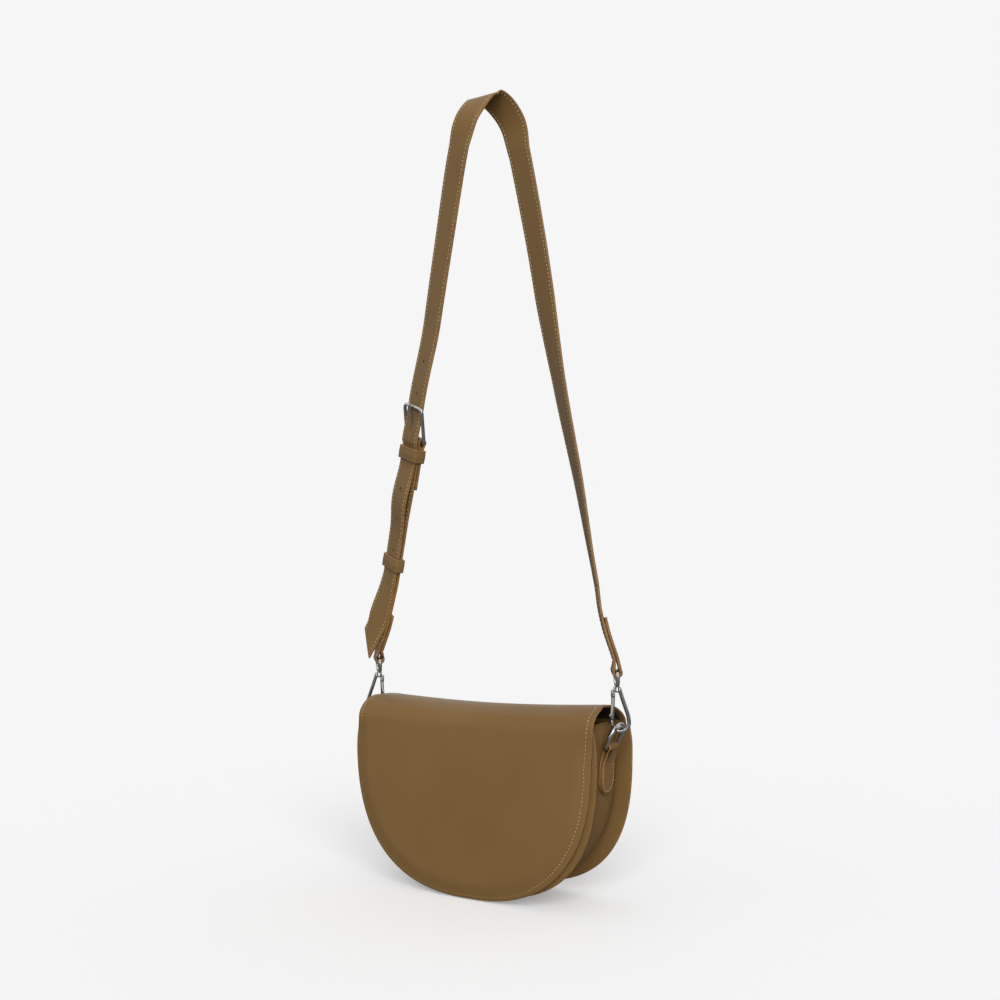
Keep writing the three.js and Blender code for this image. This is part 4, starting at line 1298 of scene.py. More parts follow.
@dataclass
class TabAndRing:
    """Leather tab on the gusset and the ring that it carries, for one side."""

    side: Side
    body: BagBody
    tab_w: float = 15.6
    tab_foot: float = 20.5
    tab_shift: float = -2.6
    tab_t: float = 1.6
    tab_end: float = -69.0
    gap: float = 0.3
    wire: float = 1.6
    stout: float = 0.5
    inner: float = 17.5
    height: float = 18.5
    leans: dict = field(default_factory=lambda: {Side.RIGHT: 24.0, Side.LEFT: 38.0})
    bar_z: float = -33.0
    bar_x: float = 106.848
    stitch_in: float = 1.9
    stitch_rise: float = 22.0  # top of the stitch row over the tab's end
    stitch: tuple[float, float] = (1.7, 0.6)
    corner: float = 2.5

    def gusset_x(self, z: float) -> float:
        """Outer face of the gusset's flat middle at a height."""
        inset = self.body.web_insets[1]
        line = BODY_MOON.open_line(self.body.front_top)
        closed = BODY_MOON.outline(self.body.front_top)
        push = inward(closed)
        pts = [p + n * inset for p, n in zip(closed, push)][: len(line) // 2]
        for a, b in zip(pts[1:], pts[2:]):
            if b.y <= z <= a.y:
                return mix(a.x, b.x, (a.y - z) / (a.y - b.y))
        return pts[1].x

    def make_tab(self) -> None:
        """Makes the folded tab with its stitch row."""
        t = self.tab_t
        r = self.wire + self.gap + t / 2
        low = steps(self.tab_end, self.tab_end + 24.0, 30)
        path = [Vector((self.gusset_x(z) + self.gap + t / 2, 0.0, z)) for z in low[:-2]]
        path += [Vector((x, 0.0, z)) for x, z in arc(self.bar_x, self.bar_z, r, 190, -35, 26)]
        face = 2 * self.gap + 1.5 * t
        path += [Vector((self.gusset_x(z) + face, 0.0, z)) for z in reversed(low[:-3])]
        half = self.tab_foot / 2

        def spread(z: float) -> float:
            return smooth((self.tab_end + 32.0 - z) / 12.0)

        def width(z: float) -> float:
            rise = z - self.tab_end
            if rise >= half:
                return mix(self.tab_w / 2, half, spread(z))
            return math.sqrt(max(half * half - (half - rise) ** 2, 0.16))

        for p in path:
            p.y = self.tab_shift * spread(p.z)

        def section(i: int) -> list[tuple[float, float]]:
            h, w = t / 2, width(path[i].z)
            e = min(0.55, w * 0.8)
            one = [(w - e - 0.2, -h), (w - 0.18, -h * 0.62), (w, 0.0)]
            one += [(w - 0.18, h * 0.62), (w - e - 0.2, h)]
            flat = [(w * k, h) for k in (0.62, 0.2, -0.2, -0.62)]
            two = [(-p, -q) for p, q in one]
            return one + flat + two + [(-p, -q) for p, q in flat]

        work = Workpiece()
        across = [AXIS_Y] * len(path)
        work.sweep(path, section, across, False, lambda k, i: 1 if i in (0, 1, 2, 3, 9, 10, 11, 12) else 0)
        inset = half - self.stitch_in
        sides = steps(self.tab_end + self.stitch_rise, self.tab_end + half + 1.0, 6)
        back = steps(self.tab_end + half + 1.0, self.tab_end + self.stitch_rise, 6)
        line = [(-inset, z) for z in sides] + arc(0.0, self.tab_end + half, inset, 180, 360, 12)
        line += [(inset, z) for z in back]
        over = 2 * self.gap + 2 * t + 0.05
        flat = [Vector((self.gusset_x(z) + over, y + self.tab_shift, z)) for y, z in line]
        for p, d in spaced(flat, 2.4, 0.8):
            work.stitch(p, d, Vector((1.0, 0.0, 0.0)), self.stitch, 2)
        work.move(self.side.turn)
        name = self.side.word + "_tab"
        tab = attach(work.done(name + "_leather", (LEATHER, EDGE, THREAD), Slot.LEATHER), "bag")
        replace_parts(tab, name)

    def make_ring(self) -> None:
        """Makes the cast ring, stouter round its bow than at its bar."""
        hw = self.inner / 2 + self.wire
        lean = math.radians(self.leans[self.side])
        up = Vector((math.sin(lean), 0.0, math.cos(lean)))
        o = Vector((self.bar_x, 0.0, self.bar_z))
        bow = arc(0.0, self.height - hw, hw + self.stout, 0, 180, 30)
        c = self.corner
        flat = bow + arc(-hw + c, c, c, 180, 270, 8) + arc(hw - c, c, c, 270, 360, 8)
        path = [o + Vector((0.0, y, 0.0)) + up * h for y, h in flat]
        work = Workpiece()
        radii = [self.wire + (self.stout if i < len(bow) else 0.0) for i in range(len(flat))]
        work.wire(path, lambda i: radii[i], AXIS_Y.cross(up), True)
        work.move(self.side.turn)
        name = self.side.word + "_ring"
        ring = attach(work.done(name + "_nickel", (NICKEL,), Slot.NICKEL), name)
        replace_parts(ring, name)

    def build(self) -> None:
        """Builds the tab and the ring."""
        self.make_tab()
        self.make_ring()


EYES = {Side.RIGHT: Vector((111.772, 0.0, 26.2)), Side.LEFT: Vector((115.638, 0.0, 23.878))}


@dataclass
class SwivelHook:
    """Eye, claw, gate and pin of one swivel hook, about its post."""

    side: Side
    eye_wire: float = 1.6
    eye_h: float = 9.5
    strap_w: float = 25.0
    post_r: float = 1.3
    collar_r: float = 3.0
    collar_h: float = 4.5
    claw_r: float = 1.6
    bight_r: float = 6.8
    bight_u: float = 2.9
    slack: float = 1.2
    turn: float = 31.0
    pin_r: float = 0.8
    run: float = 0.1
    eye_turns: dict = field(default_factory=lambda: {Side.RIGHT: 30.0, Side.LEFT: 40.0})

    @property
    def eye(self) -> Vector:
        """Middle of the eye's bar on this side, placed as on the right."""
        return EYES[self.side]

    @property
    def collar_top(self) -> float:
        """Top of the collar under the eye."""
        return -(self.eye_h + self.eye_wire + 0.5)

    @property
    def collar_low(self) -> float:
        """Bottom of the collar."""
        return self.collar_top - self.collar_h

    @property
    def bight_z(self) -> float:
        """Middle of the claw's bight, which the ring's top lies in."""
        ring = TabAndRing(self.side, BagBody())
        ring_top = ring.bar_z + ring.height * math.cos(math.radians(ring.leans[self.side]))
        return ring_top - ring.wire - self.claw_r - self.slack - self.eye.z + self.bight_r

    @property
    def pin(self) -> Vector:
        """Place of the gate's pin."""
        return Vector((-2.7, 0.0, self.collar_low - 2.6))

    def hang(self, work: Workpiece) -> None:
        """Turns the claw's pieces about the post and hangs them on their side."""
        at = Matrix.Translation(self.eye)
        work.move(self.side.turn @ at @ Matrix.Rotation(math.radians(self.turn), 4, "Z"))

    def make_eye(self) -> None:
        """Makes the oblong eye with the post that turns in the collar."""
        hw = self.strap_w / 2 + 0.6 + self.eye_wire
        path = [Vector((x, 0.0, z)) for x, z in round_rect(hw, -self.eye_h, 0.0, 3.0, 7)]
        work = Workpiece()
        work.wire(path, lambda i: self.eye_wire, AXIS_Y, True)
        low, r, head = self.collar_low, self.post_r, self.post_r + 0.7
        rows = [(0.0, -self.eye_h), (r + 0.8, -self.eye_h - 0.3), (r + 0.4, -self.eye_h - 1.6)]
        rows += [(r, self.collar_top + 0.3), (r, low + 1.7), (head - 0.2, low + 1.7), (head, low + 1.5)]
        rows += [(head, low - 0.2), (head - 0.3, low - 0.4), (0.0, low - 0.4)]
        work.turned([Vector((a, 0.0, z)) for a, z in rows], Vector(), AXIS_Z, 28)
        swing = Matrix.Rotation(math.radians(self.eye_turns[self.side] - 90.0), 4, "Z")
        work.move(Matrix.Translation(self.side.turn @ self.eye) @ swing)
        name = self.side.word + "_hook_eye"
        eye = work.done(name + "_nickel", (NICKEL,), Slot.NICKEL)
        crisp(eye)
        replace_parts(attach(eye, self.side.word + "_eye"), name)

    def make_claw(self) -> None:
        """Makes the collar, the bent claw and the cheeks that hold the gate."""
        top = self.collar_low + 2.2
        bight = self.bight_z
        path = [(2.2, top + 0.3), (2.6, top - 1.2), (3.4, top - 4.0), (4.4, top - 7.0), (5.4, top - 10.0)]
        path += [(6.5, top - 13.0), (7.5, top - 16.0), (8.4, top - 18.6), (9.1, top - 21.0)]
        path += arc(self.bight_u, bight, self.bight_r, 0, -180, 22)
        path.append((self.bight_u - self.bight_r, bight + 1.0))
        count = len(path)
        work = Workpiece()
        pts = [Vector((u, 0.0, z)) for u, z in path]
        work.wire(pts, lambda i: self.claw_r * (1.0 if i < count - 3 else 0.97), AXIS_Y)
        low, high, r, bore = self.collar_low, self.collar_top, self.collar_r, self.post_r + self.run
        head = bore + 0.7
        rows = [(head, low), (r - 0.3, low), (r, low + 0.3), (r, low + 1.3), (r - 0.25, low + 1.55)]
        rows += [(r - 0.25, high - 1.2), (r - 0.5, high - 0.5), (r - 1.0, high), (bore, high)]
        rows += [(bore, low + 2.0), (head, low + 2.0), (head, low)]
        work.turned([Vector((a, 0.0, z)) for a, z in rows], Vector(), AXIS_Z, 36)
        pin = self.pin
        for y0 in (1.6, -2.6):
            corner = Vector((pin.x - 1.6, y0, pin.z - 1.6))
            work.block(corner, Vector((pin.x + 1.2, y0 + 1.0, low + 1.5)), 0.35)
            work.block(Vector((pin.x - 1.0, y0, low)), Vector((-0.2, y0 + 1.0, low + 1.5)), 0.3)
        self.hang(work)
        name = self.side.word + "_hook_body"
        claw = work.done(name + "_nickel", (NICKEL,), Slot.NICKEL)
        crisp(claw)
        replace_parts(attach(claw, self.side.word + "_hook"), name)

    def make_gate(self) -> None:
        """Makes the sprung gate with its thumb lip, and the pin that it turns on."""
        pin, t = self.pin, 1.3
        end = self.bight_z + 1.0 + self.claw_r + 0.3
        u, z = pin.x, pin.z
        g = self.bight_u - self.bight_r + 0.4
        outline = arc(u, z, 1.5, 0, 180, 12)
        outline += [(u - 1.4, z - 3.0), (g - 1.3, end + 4.0), (g - 1.9, end + 3.7), (g - 2.6, end + 3.2)]
        outline += [(g - 2.75, end + 2.5), (g - 2.5, end + 1.8), (g - 1.5, end + 1.3), (g - 1.2, end)]
        outline += [(g + 1.4, end), (u + 1.4, z - 3.0)]
        work = Workpiece()
        flat = [Vector((a, b)) for a, b in outline]
        push = inward(flat)
        rings = []
        edge = ((0.5, -t), (0.14, -t + 0.14), (0.0, -t + 0.5))
        for inset, y in edge + tuple((k, -y) for k, y in reversed(edge)):
            rings.append([Vector((p.x + n.x * inset, y, p.y + n.y * inset)) for p, n in zip(flat, push)])
        work.loft(rings)
        self.hang(work)
        name = self.side.word + "_hook_gate"
        gate = work.done(name + "_nickel", (NICKEL,), Slot.NICKEL)
        crisp(gate, 42.0)
        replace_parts(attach(gate, self.side.word + "_gate"), name)

        work = Workpiece()
        rows = [(0.0, -2.95), (0.5, -2.95), (self.pin_r, -2.75)]
        rows += [(r, -y) for r, y in reversed(rows)]
        work.turned([pin + Vector((a, y, 0.0)) for a, y in rows], pin, AXIS_Y, 20)
        self.hang(work)
        name = self.side.word + "_gate_pin"
        dowel = work.done(name + "_nickel", (NICKEL,), Slot.NICKEL)
        crisp(dowel)
        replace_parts(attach(dowel, self.side.word + "_hook"), name)

    def build(self) -> None:
        """Builds the hook in order."""
        self.make_eye()
        self.make_claw()
        self.make_gate()


@dataclass
class StrapCourse:
    """Route of the strap from the left hook eye over the crest to the right one."""

    crest: Vector = field(default_factory=lambda: Vector((-7.3, -0.6, 491.1)))
    heel_s: float = 192.0
    arch: tuple = (
        (-9.6, -25.6, -44.6, 72.5, 0.0),
        (-4.0, -24.1, -23.6, 86.0, 9.2),
        (-0.6, -18.9, -13.0, 99.3, 11.6),
        (0.3, -8.5, -3.1, 103.6, 10.2),
        (0.0, 0.0, 0.0, 101.9, 9.5),
        (1.2, 5.6, 1.1, 99.0, 6.8),
        (6.7, 14.7, -5.3, 96.0, 7.0),
        (13.0, 21.6, -18.9, 87.7, 3.8),
        (19.4, 21.6, -43.6, 72.1, 0.0),
    )
    # Share of the way up to the arch, and how far the strap bows to the side there
    left_bow: tuple = (
        (0.07, 1.6), (0.16, 2.4), (0.3, 2.2), (0.42, 2.6), (0.52, 2.8), (0.65, 1.0), (0.82, 0.0)
    )
    right_bow: tuple = ((0.82, 0.0), (0.65, -2.2), (0.5, -3.0), (0.35, -2.2), (0.2, -3.2), (0.08, -2.6))
    # Length from the left and the right eye, and degrees that the width is turned there
    rise_turns: tuple = ((0.0, 40.0), (70.0, 60.0), (125.0, 61.0), (147.0, 64.0), (252.0, 64.0))
    fall_turns: tuple = ((305.0, 65.0), (240.0, 51.0), (165.0, 43.0), (92.0, 33.5), (55.0, 31.5), (0.0, 30.0))
    eye_lift: float = 6.0  # straight length above each eye
    points: list = field(default_factory=list)
    stations: list = field(default_factory=list)
    turns: list = field(default_factory=list)
    arch_ends: tuple[float, float] = (0.0, 0.0)

    def __post_init__(self) -> None:
        """Measures the route and sets the turn of its width."""
        left, right = [side.turn @ EYES[side] for side in (Side.LEFT, Side.RIGHT)]
        top = [self.crest + Vector(row[:3]) for row in self.arch]
        lift = AXIS_Z * self.eye_lift
        rise = [left.lerp(top[0], k) + Vector((dx, 0.0, 0.0)) for k, dx in self.left_bow]
        fall = [right.lerp(top[-1], k) + Vector((dx, 0.0, 0.0)) for k, dx in self.right_bow]
        controls = [left, left + lift] + rise + top + fall + [right + lift, right]
        self.points = self.curve(controls, 900)
        self.stations = run_lengths(self.points)
        over = [(self.station(p), row[3], row[4]) for p, row in zip(top, self.arch)]
        self.turns = [(s, a, 0.0) for s, a in self.rise_turns] + over
        self.turns += [(self.length - s, a, 0.0) for s, a in self.fall_turns]
        self.arch_ends = (over[0][0], over[-1][0])

    @staticmethod
    def curve(controls: Sequence[Vector], count: int) -> list[Vector]:
        """Centripetal curve through the control points."""
        last = len(controls) - 1
        padded = [controls[0] * 2 - controls[1]] + list(controls) + [controls[-1] * 2 - controls[-2]]
        out = []
        for k in range(count + 1):
            at = last * k / count
            i = min(int(at), last - 1)
            t = at - i
            p0, p1, p2, p3 = padded[i : i + 4]
            d0, d1, d2 = [math.sqrt((b - a).length) for a, b in ((p0, p1), (p1, p2), (p2, p3))]
            m1 = ((p1 - p0) / d0 - (p2 - p0) / (d0 + d1) + (p2 - p1) / d1) * d1
            m2 = ((p2 - p1) / d1 - (p3 - p1) / (d1 + d2) + (p3 - p2) / d2) * d1
            c2 = (p2 - p1) * 3 - m1 * 2 - m2
            c3 = (p1 - p2) * 2 + m1 + m2
            out.append(p1 + m1 * t + c2 * t * t + c3 * t * t * t)
        return out

    @property
    def length(self) -> float:
        """Length from eye to eye."""
        return self.stations[-1]

    def station(self, p: Vector) -> float:
        """Length along the route nearest to a point."""
        best = min(range(len(self.points)), key=lambda i: (self.points[i] - p).length_squared)
        return self.stations[best]

    def at(self, s: float) -> Vector:
        """Point at a length along the route, which runs straight down past its ends."""
        if s <= 0:
            return self.points[0] + Vector((0.0, 0.0, s))
        if s >= self.length:
            return self.points[-1] + Vector((0.0, 0.0, self.length - s))
        i = max(bisect.bisect_left(self.stations, s), 1)
        s0, s1 = self.stations[i - 1], self.stations[i]
        return self.points[i - 1].lerp(self.points[i], (s - s0) / (s1 - s0))

    def turn(self, s: float) -> tuple[float, float]:
        """Turn and bank of the strap's width at a length, in radians."""
        s = min(max(s, 0.0), self.length)
        i = max(bisect.bisect_left(self.turns, s, key=lambda row: row[0]), 1)
        (s0, a0, b0), (s1, a1, b1) = self.turns[i - 1], self.turns[i]
        k = (s - s0) / (s1 - s0)
        return math.radians(mix(a0, a1, k)), math.radians(mix(b0, b1, k))

    def frame(self, s: float) -> tuple[Vector, Vector, Vector, Vector]:
        """Place, direction, width and outer face of the strap at a length."""
        t = (self.at(s + 1.0) - self.at(s - 1.0)).normalized()
        f, b = self.turn(s)
        w = Vector((math.sin(f) * math.cos(b), -math.cos(f) * math.cos(b), math.sin(b)))
        w = (w - t * w.dot(t)).normalized()
        return self.at(s), t, w, w.cross(t)


@dataclass
class Strap:
    """Long strap, short strap and the two keepers."""

    course: StrapCourse
    width: float = 25.0
    thick: float = 2.2
    layer_gap: float = 0.3
    eye_wire: float = 1.6
    buckle_wire: float = 1.5
    gap: float = 0.3
    play: float = 0.4
    fold: float = 42.0
    tail_s: float = 11.5
    tail_skew: float = 0.65
    tail_twist: float = 24.0
    hole_r: float = 1.6
    hole_pitch: float = 27.0
    buckle_len: float = 29.4
    buckle_lean: float = 15.0
    keeper_len: float = 11.0
    keeper_t: float = 1.6
    keeper_low: float = 80.5
    keeper_slide: float = 18.0
    stitch_in: float = 2.5
    stitch_pitch: float = 3.4
    stitch: tuple[float, float] = (2.4, 0.75)
    prong_r: float = 1.15

    def __post_init__(self) -> None:
        """Sets the offsets of the layers and the long strap's way through them."""
        heel, end = self.course.heel_s, self.course.length
        self.half_layer = (self.thick + self.layer_gap) / 2
        self.eye_loop = self.eye_wire + self.gap + self.thick / 2
        self.heel_loop = self.buckle_wire + self.gap + self.thick / 2
        tail = self.half_layer + self.thick + self.play
        over = self.heel_loop + self.thick + self.play
        lean = math.radians(self.buckle_lean)
        top = heel + self.buckle_len * math.cos(lean) + self.heel_loop * math.sin(lean)
        bar = self.buckle_len * math.sin(lean) - self.heel_loop * math.cos(lean)
        self.tail_off, self.keeper_top, self.bar_s = tail, heel - 17.0, top
        low, high, long = self.keeper_low, self.keeper_top, self.keeper_len
        self.way = [(self.tail_s, 11.2), (24.0, 8.9), (45.0, 6.4), (62.0, 4.6), (low - 2.0, tail)]
        self.way += [(low + long + self.keeper_slide + 2.0, tail), (141.0, 6.4), (high - 2.0, tail)]
        self.way += [(high + long + 0.5, tail), (heel - 1.0, over), (heel + 3.0, over)]
        self.way += [(top - 2.0, bar), (top + 3.0, bar), (top + 70.0, 0.0)]
        self.way += [(end - self.fold - 30.0, 0.0), (end - self.fold - 6.0, -self.half_layer)]
        rises = [(b - a) / (s1 - s0) for (s0, a), (s1, b) in zip(self.way, self.way[1:])]
        joins = [2 * a * b / (a + b) if a * b > 0 else 0.0 for a, b in zip(rises, rises[1:])]
        self.slopes = [rises[0]] + joins + [0.0]

    def off(self, s: float) -> float:
        """Offset of the long strap from the route."""
        if s > self.way[-1][0]:
            return -self.half_layer
        i = max(bisect.bisect_left(self.way, s, key=lambda row: row[0]), 1)
        (s0, a), (s1, b) = self.way[i - 1], self.way[i]
        k = (s - s0) / (s1 - s0)
        bend = (s1 - s0) * k * (1 - k) * (self.slopes[i - 1] * (1 - k) - self.slopes[i] * k)
        return mix(a, b, smooth(k)) + bend

    @staticmethod
    def loop(s0: float, r: float, start: float, end: float, count: int) -> list[tuple[float, float]]:
        """Turn round a bar, 0 being outward and 90 up."""
        return [(s0 + x, n) for n, x in arc(0.0, 0.0, r, start, end, count)]

    def long_way(self) -> list[tuple[float, float]]:
        """Stations and offsets of the long strap."""
        end, heel = self.course.length, self.course.heel_s
        first, last = self.course.arch_ends
        stops = (self.tail_s, self.keeper_low, heel - 7.0, self.bar_s + 6.0, first - 40.0, last + 40.0)
        stops += (end - self.fold - 34.0, end - 9.0)
        rows = []
        for s0, s1, step in zip(stops, stops[1:], (2.2, 5.0, 1.6, 6.0, 2.0, 6.0, 2.5)):
            count = max(1, round((s1 - s0) / step))
            rows += [(s, self.off(s)) for s in steps(s0, s1, count) if not rows or s > rows[-1][0] + 1e-6]
        rows += self.loop(end, self.eye_loop, 205, -25, 22)
        m = self.half_layer
        return rows + [(end - k, m) for k in steps(9.0, self.fold, 12)]

    def short_way(self) -> list[tuple[float, float]]:
        """Stations and offsets of the short strap."""
        m, heel = self.half_layer, self.course.heel_s
        rows = [(s, -m) for s in steps(heel - 40.0, heel - 6.0, 10)]
        rows += self.loop(heel, self.heel_loop, 205, -25, 22)
        rows += [(s, m) for s in steps(heel - 6.0, 9.0, 46)]
        rows += self.loop(0.0, self.eye_loop, 25, -205, 22)
        return rows + [(s, -m) for s in steps(9.0, self.fold, 12)]

    def section(self) -> list[tuple[float, float]]:
        """Section of the strap: soft faces, grooves under the stitches, rounded edges."""
        w, h = self.width / 2, self.thick / 2
        g = w - self.stitch_in
        face = [(w - 0.75, h - 0.05), (g + 0.7, h), (g, h - 0.16), (g - 0.8, h), (g - 3.0, h + 0.06)]
        face = face + [(0.0, h + 0.08)] + [(-p, q) for p, q in reversed(face)]
        edge = [(w - 0.22, -h * 0.7), (w, -h * 0.25), (w, h * 0.25), (w - 0.22, h * 0.7)]
        return edge + face + [(-p, -q) for p, q in edge] + [(-p, -q) for p, q in face]

    def ribbon(self, work: Workpiece, rows: Sequence[tuple[float, float]], skew: float) -> list[tuple]:
        """Makes one strip of strap.

        Args:
            work: Mesh to add to.
            rows: Stations and offsets.
            skew: Slant of the first end.

        Returns:
            Place, width direction and outer face at each station.
        """
        section = self.section()
        centre = []
        for s, n in rows:
            o, _, _, out = self.course.frame(s)
            centre.append(o + out * n)
        frames, rings = [], []
        for i, (s, _) in enumerate(rows):
            t = around(centre, i)
            w = self.course.frame(s)[2]
            a = (w - t * w.dot(t)).normalized()
            if skew:
                loose = smooth((self.keeper_low - 3.0 - s) / 42.0)
                a = Matrix.Rotation(math.radians(self.tail_twist * loose), 3, t) @ a
            b = a.cross(t)
            slant = -skew * max(0.0, 1.0 - (s - rows[0][0]) / 26.0)
            frames.append((centre[i], a, b, t, slant))
            rings.append([centre[i] + a * p + b * q + t * (slant * p) for p, q in section])
        edge = set(range(0, 4)) | set(range(15, 19))
        work.loft(rings, lambda k, i: 1 if i in edge else 0)
        return frames

    def sew(self, work: Workpiece, frames: Sequence[tuple], first: float = 5.0, last: float = 3.0) -> None:
        """Sews both edges of a strip on both faces."""
        g = self.width / 2 - self.stitch_in
        for side in (1.0, -1.0):
            line = [o + a * (g * side) + t * (slant * g * side) for o, a, _, t, slant in frames]
            lengths = run_lengths(line)
            count = int((lengths[-1] - first - last) / self.stitch_pitch)
            for k in range(count + 1):
                i, t = on_line(lengths, first + self.stitch_pitch * k)
                at = line[i - 1].lerp(line[i], t)
                along = (line[i] - line[i - 1]).normalized()
                out = frames[i - 1][2].lerp(frames[i][2], t).normalized()
                for face in (1.0, -1.0):
                    work.stitch(at + out * (face * (self.thick / 2 - 0.06)), along, out * face, self.stitch)

    def punch(self, strip: bpy.types.Object, cutters: Sequence[Matrix]) -> None:
        """Punches holes through a strip.

        Args:
            strip: The finished strip.
            cutters: Placing of each hole's cutter, a cylinder of unit radius.
        """
        work = Workpiece()
        for at in cutters:
            bmesh.ops.create_cone(
                work.bm, cap_ends=True, segments=20, radius1=1.0, radius2=1.0, depth=8.0, matrix=at
            )
        tool = work.done("punch", (EDGE,), Slot.LEATHER)
        cut = strip.modifiers.new("holes", "BOOLEAN")
        cut.operation = "DIFFERENCE"
        cut.solver = "EXACT"
        cut.object = tool
        graph = bpy.context.evaluated_depsgraph_get()
        mesh = bpy.data.meshes.new_from_object(strip.evaluated_get(graph))
        strip.modifiers.clear()
        old = strip.data
        strip.data = mesh
        bpy.data.meshes.remove(old)
        crisp(strip)
        scrap = tool.data
        bpy.data.objects.remove(tool)
        bpy.data.meshes.remove(scrap)

    def make_long(self) -> None:
        """Makes the long strap with its holes and stitches."""
        work = Workpiece()
        frames = self.ribbon(work, self.long_way(), self.tail_skew)
        strip = work.done("strap_long_leather", SEWN, Slot.LEATHER)
        cutters = []
        for k in range(2, -6, -1):
            s = self.course.heel_s + 12.0 + k * self.hole_pitch
            o, t, w, out = self.course.frame(s)
            turn = Matrix((w, t, out)).transposed().to_4x4()
            wide, tall = (self.hole_r, self.hole_r) if k else (self.prong_r + 0.6, 6.5)
            size = Matrix.Diagonal((wide, tall, 1.0, 1.0))
            cutters.append(Matrix.Translation(o + out * self.off(s)) @ turn @ size)
        self.punch(strip, cutters)
        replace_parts(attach(strip, "strap"), "strap_long")
        work = Workpiece()
        self.sew(work, frames, 3.0)
        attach(work.done("strap_long_stitches", (THREAD,), Slot.LEATHER), "strap")

    def make_short(self) -> None:
        """Makes the short strap with its stitches."""
        work = Workpiece()
        frames = self.ribbon(work, self.short_way(), 0.0)
        strip = work.done("strap_short_leather", SEWN, Slot.LEATHER)
        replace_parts(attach(strip, "strap"), "strap_short")
        work = Workpiece()
        self.sew(work, frames)
        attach(work.done("strap_short_stitches", (THREAD,), Slot.LEATHER), "strap")

    def keeper(self, name: str, s0: float, low: float, high: float, body: str) -> None:
        """Makes one keeper loop.

        Args:
            name: Node that it stands for.
            s0: Its lower end on the route.
            low: Inner face of the layers that it holds.
            high: Outer face of those layers.
            body: Body that it rides on.
        """
        o, t, w, n = self.course.frame(s0 + self.keeper_len / 2)
        hw = self.width / 2 + self.play + self.keeper_t / 2
        hn = (high - low) / 2 + self.play + self.keeper_t / 2
        mid = o + n * ((low + high) / 2)
        loop = round_rect(hw, -hn, hn, 1.7, 5)
        path = [mid + w * p + n * q for p, q in loop]
        half, h = self.keeper_len / 2, self.keeper_t / 2
        edge = [(half - 0.3, -h), (half - 0.05, -h * 0.5), (half - 0.05, h * 0.5), (half - 0.3, h)]
        crown = [(half - 1.6, h + 0.02), (half - 2.2, h - 0.12), (half - 2.8, h + 0.05), (0.0, h + 0.15)]
        crown += [(-p, q) for p, q in reversed(crown[:-1])]
        section = edge + crown + [(-p, -q) for p, q in edge]
        work = Workpiece()
        count = len(section)
        edges = {0, 1, 2, count - 4, count - 3, count - 2}
        work.sweep(path, lambda i: section, [t] * len(path), True, lambda k, i: 1 if i in edges else 0)
        loop_piece = work.done(name + "_leather", SEWN, Slot.LEATHER)
        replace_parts(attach(loop_piece, body), name)

    def build(self) -> None:
        """Builds the straps and keepers."""
        self.make_long()
        self.make_short()
        h, m = self.thick / 2, self.half_layer
        self.keeper("keeper_fixed", self.keeper_top, -m - h, self.tail_off + h, "strap")
        self.keeper("keeper_sliding", self.keeper_low, m - h, self.tail_off + h, "keeper")


@dataclass
class Buckle:
    """Wire frame of the buckle and its prong."""

    strap: Strap
    run: float = 0.1
    corner: float = 4.0

    def axes(self) -> tuple[Vector, Vector, Vector]:
        """Directions across, along and out of the leaning buckle."""
        course = self.strap.course
        _, t, w, n = course.frame(course.heel_s + self.strap.buckle_len / 2)
        lean = math.radians(self.strap.buckle_lean)
        return w, t * math.cos(lean) + n * math.sin(lean), n * math.cos(lean) - t * math.sin(lean)

    def at(self, w: float, s: float, n: float) -> Vector:
        """Point of the buckle's own frame, from the middle of its heel bar."""
        course = self.strap.course
        across, along, out = self.axes()
        return course.at(course.heel_s) + across * w + along * s + out * n

    def build(self) -> None:
        """Builds the frame and the prong."""
        strap = self.strap
        across, _, out = self.axes()
        r = strap.buckle_wire
        hw = strap.width / 2 + 1.0 + r
        path = [self.at(w, s, 0.0) for w, s in round_rect(hw, 0.0, strap.buckle_len, self.corner, 8)]
        work = Workpiece()
        work.wire(path, lambda i: r, out, True)
        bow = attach(work.done("buckle_frame_nickel", (NICKEL,), Slot.NICKEL), "buckle")
        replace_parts(bow, "buckle_frame")

        p = strap.prong_r
        ring = r + self.run + p
        work = Workpiece()
        turn = [self.at(0.0, x, n) for n, x in arc(0.0, 0.0, ring, 0, 360, 28)[:-1]]
        work.wire(turn, lambda i: p, across, True)
        rows = [(2.2, 1.4), (4.0, 1.6), (6.0, 1.75), (10.0, 1.95), (14.0, 2.15), (18.0, 2.33), (22.0, 2.5)]
        rows += [(26.0, ring - 0.08), (strap.buckle_len, ring), (strap.buckle_len + 2.4, ring)]
        tongue = [self.at(0.0, s, n) for s, n in rows]
        work.wire(tongue, lambda i: p * mix(1.05, 0.88, i / len(rows)), across)
        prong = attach(work.done("buckle_prong_nickel", (NICKEL,), Slot.NICKEL), "prong")
        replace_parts(prong, "buckle_prong")


# Studio


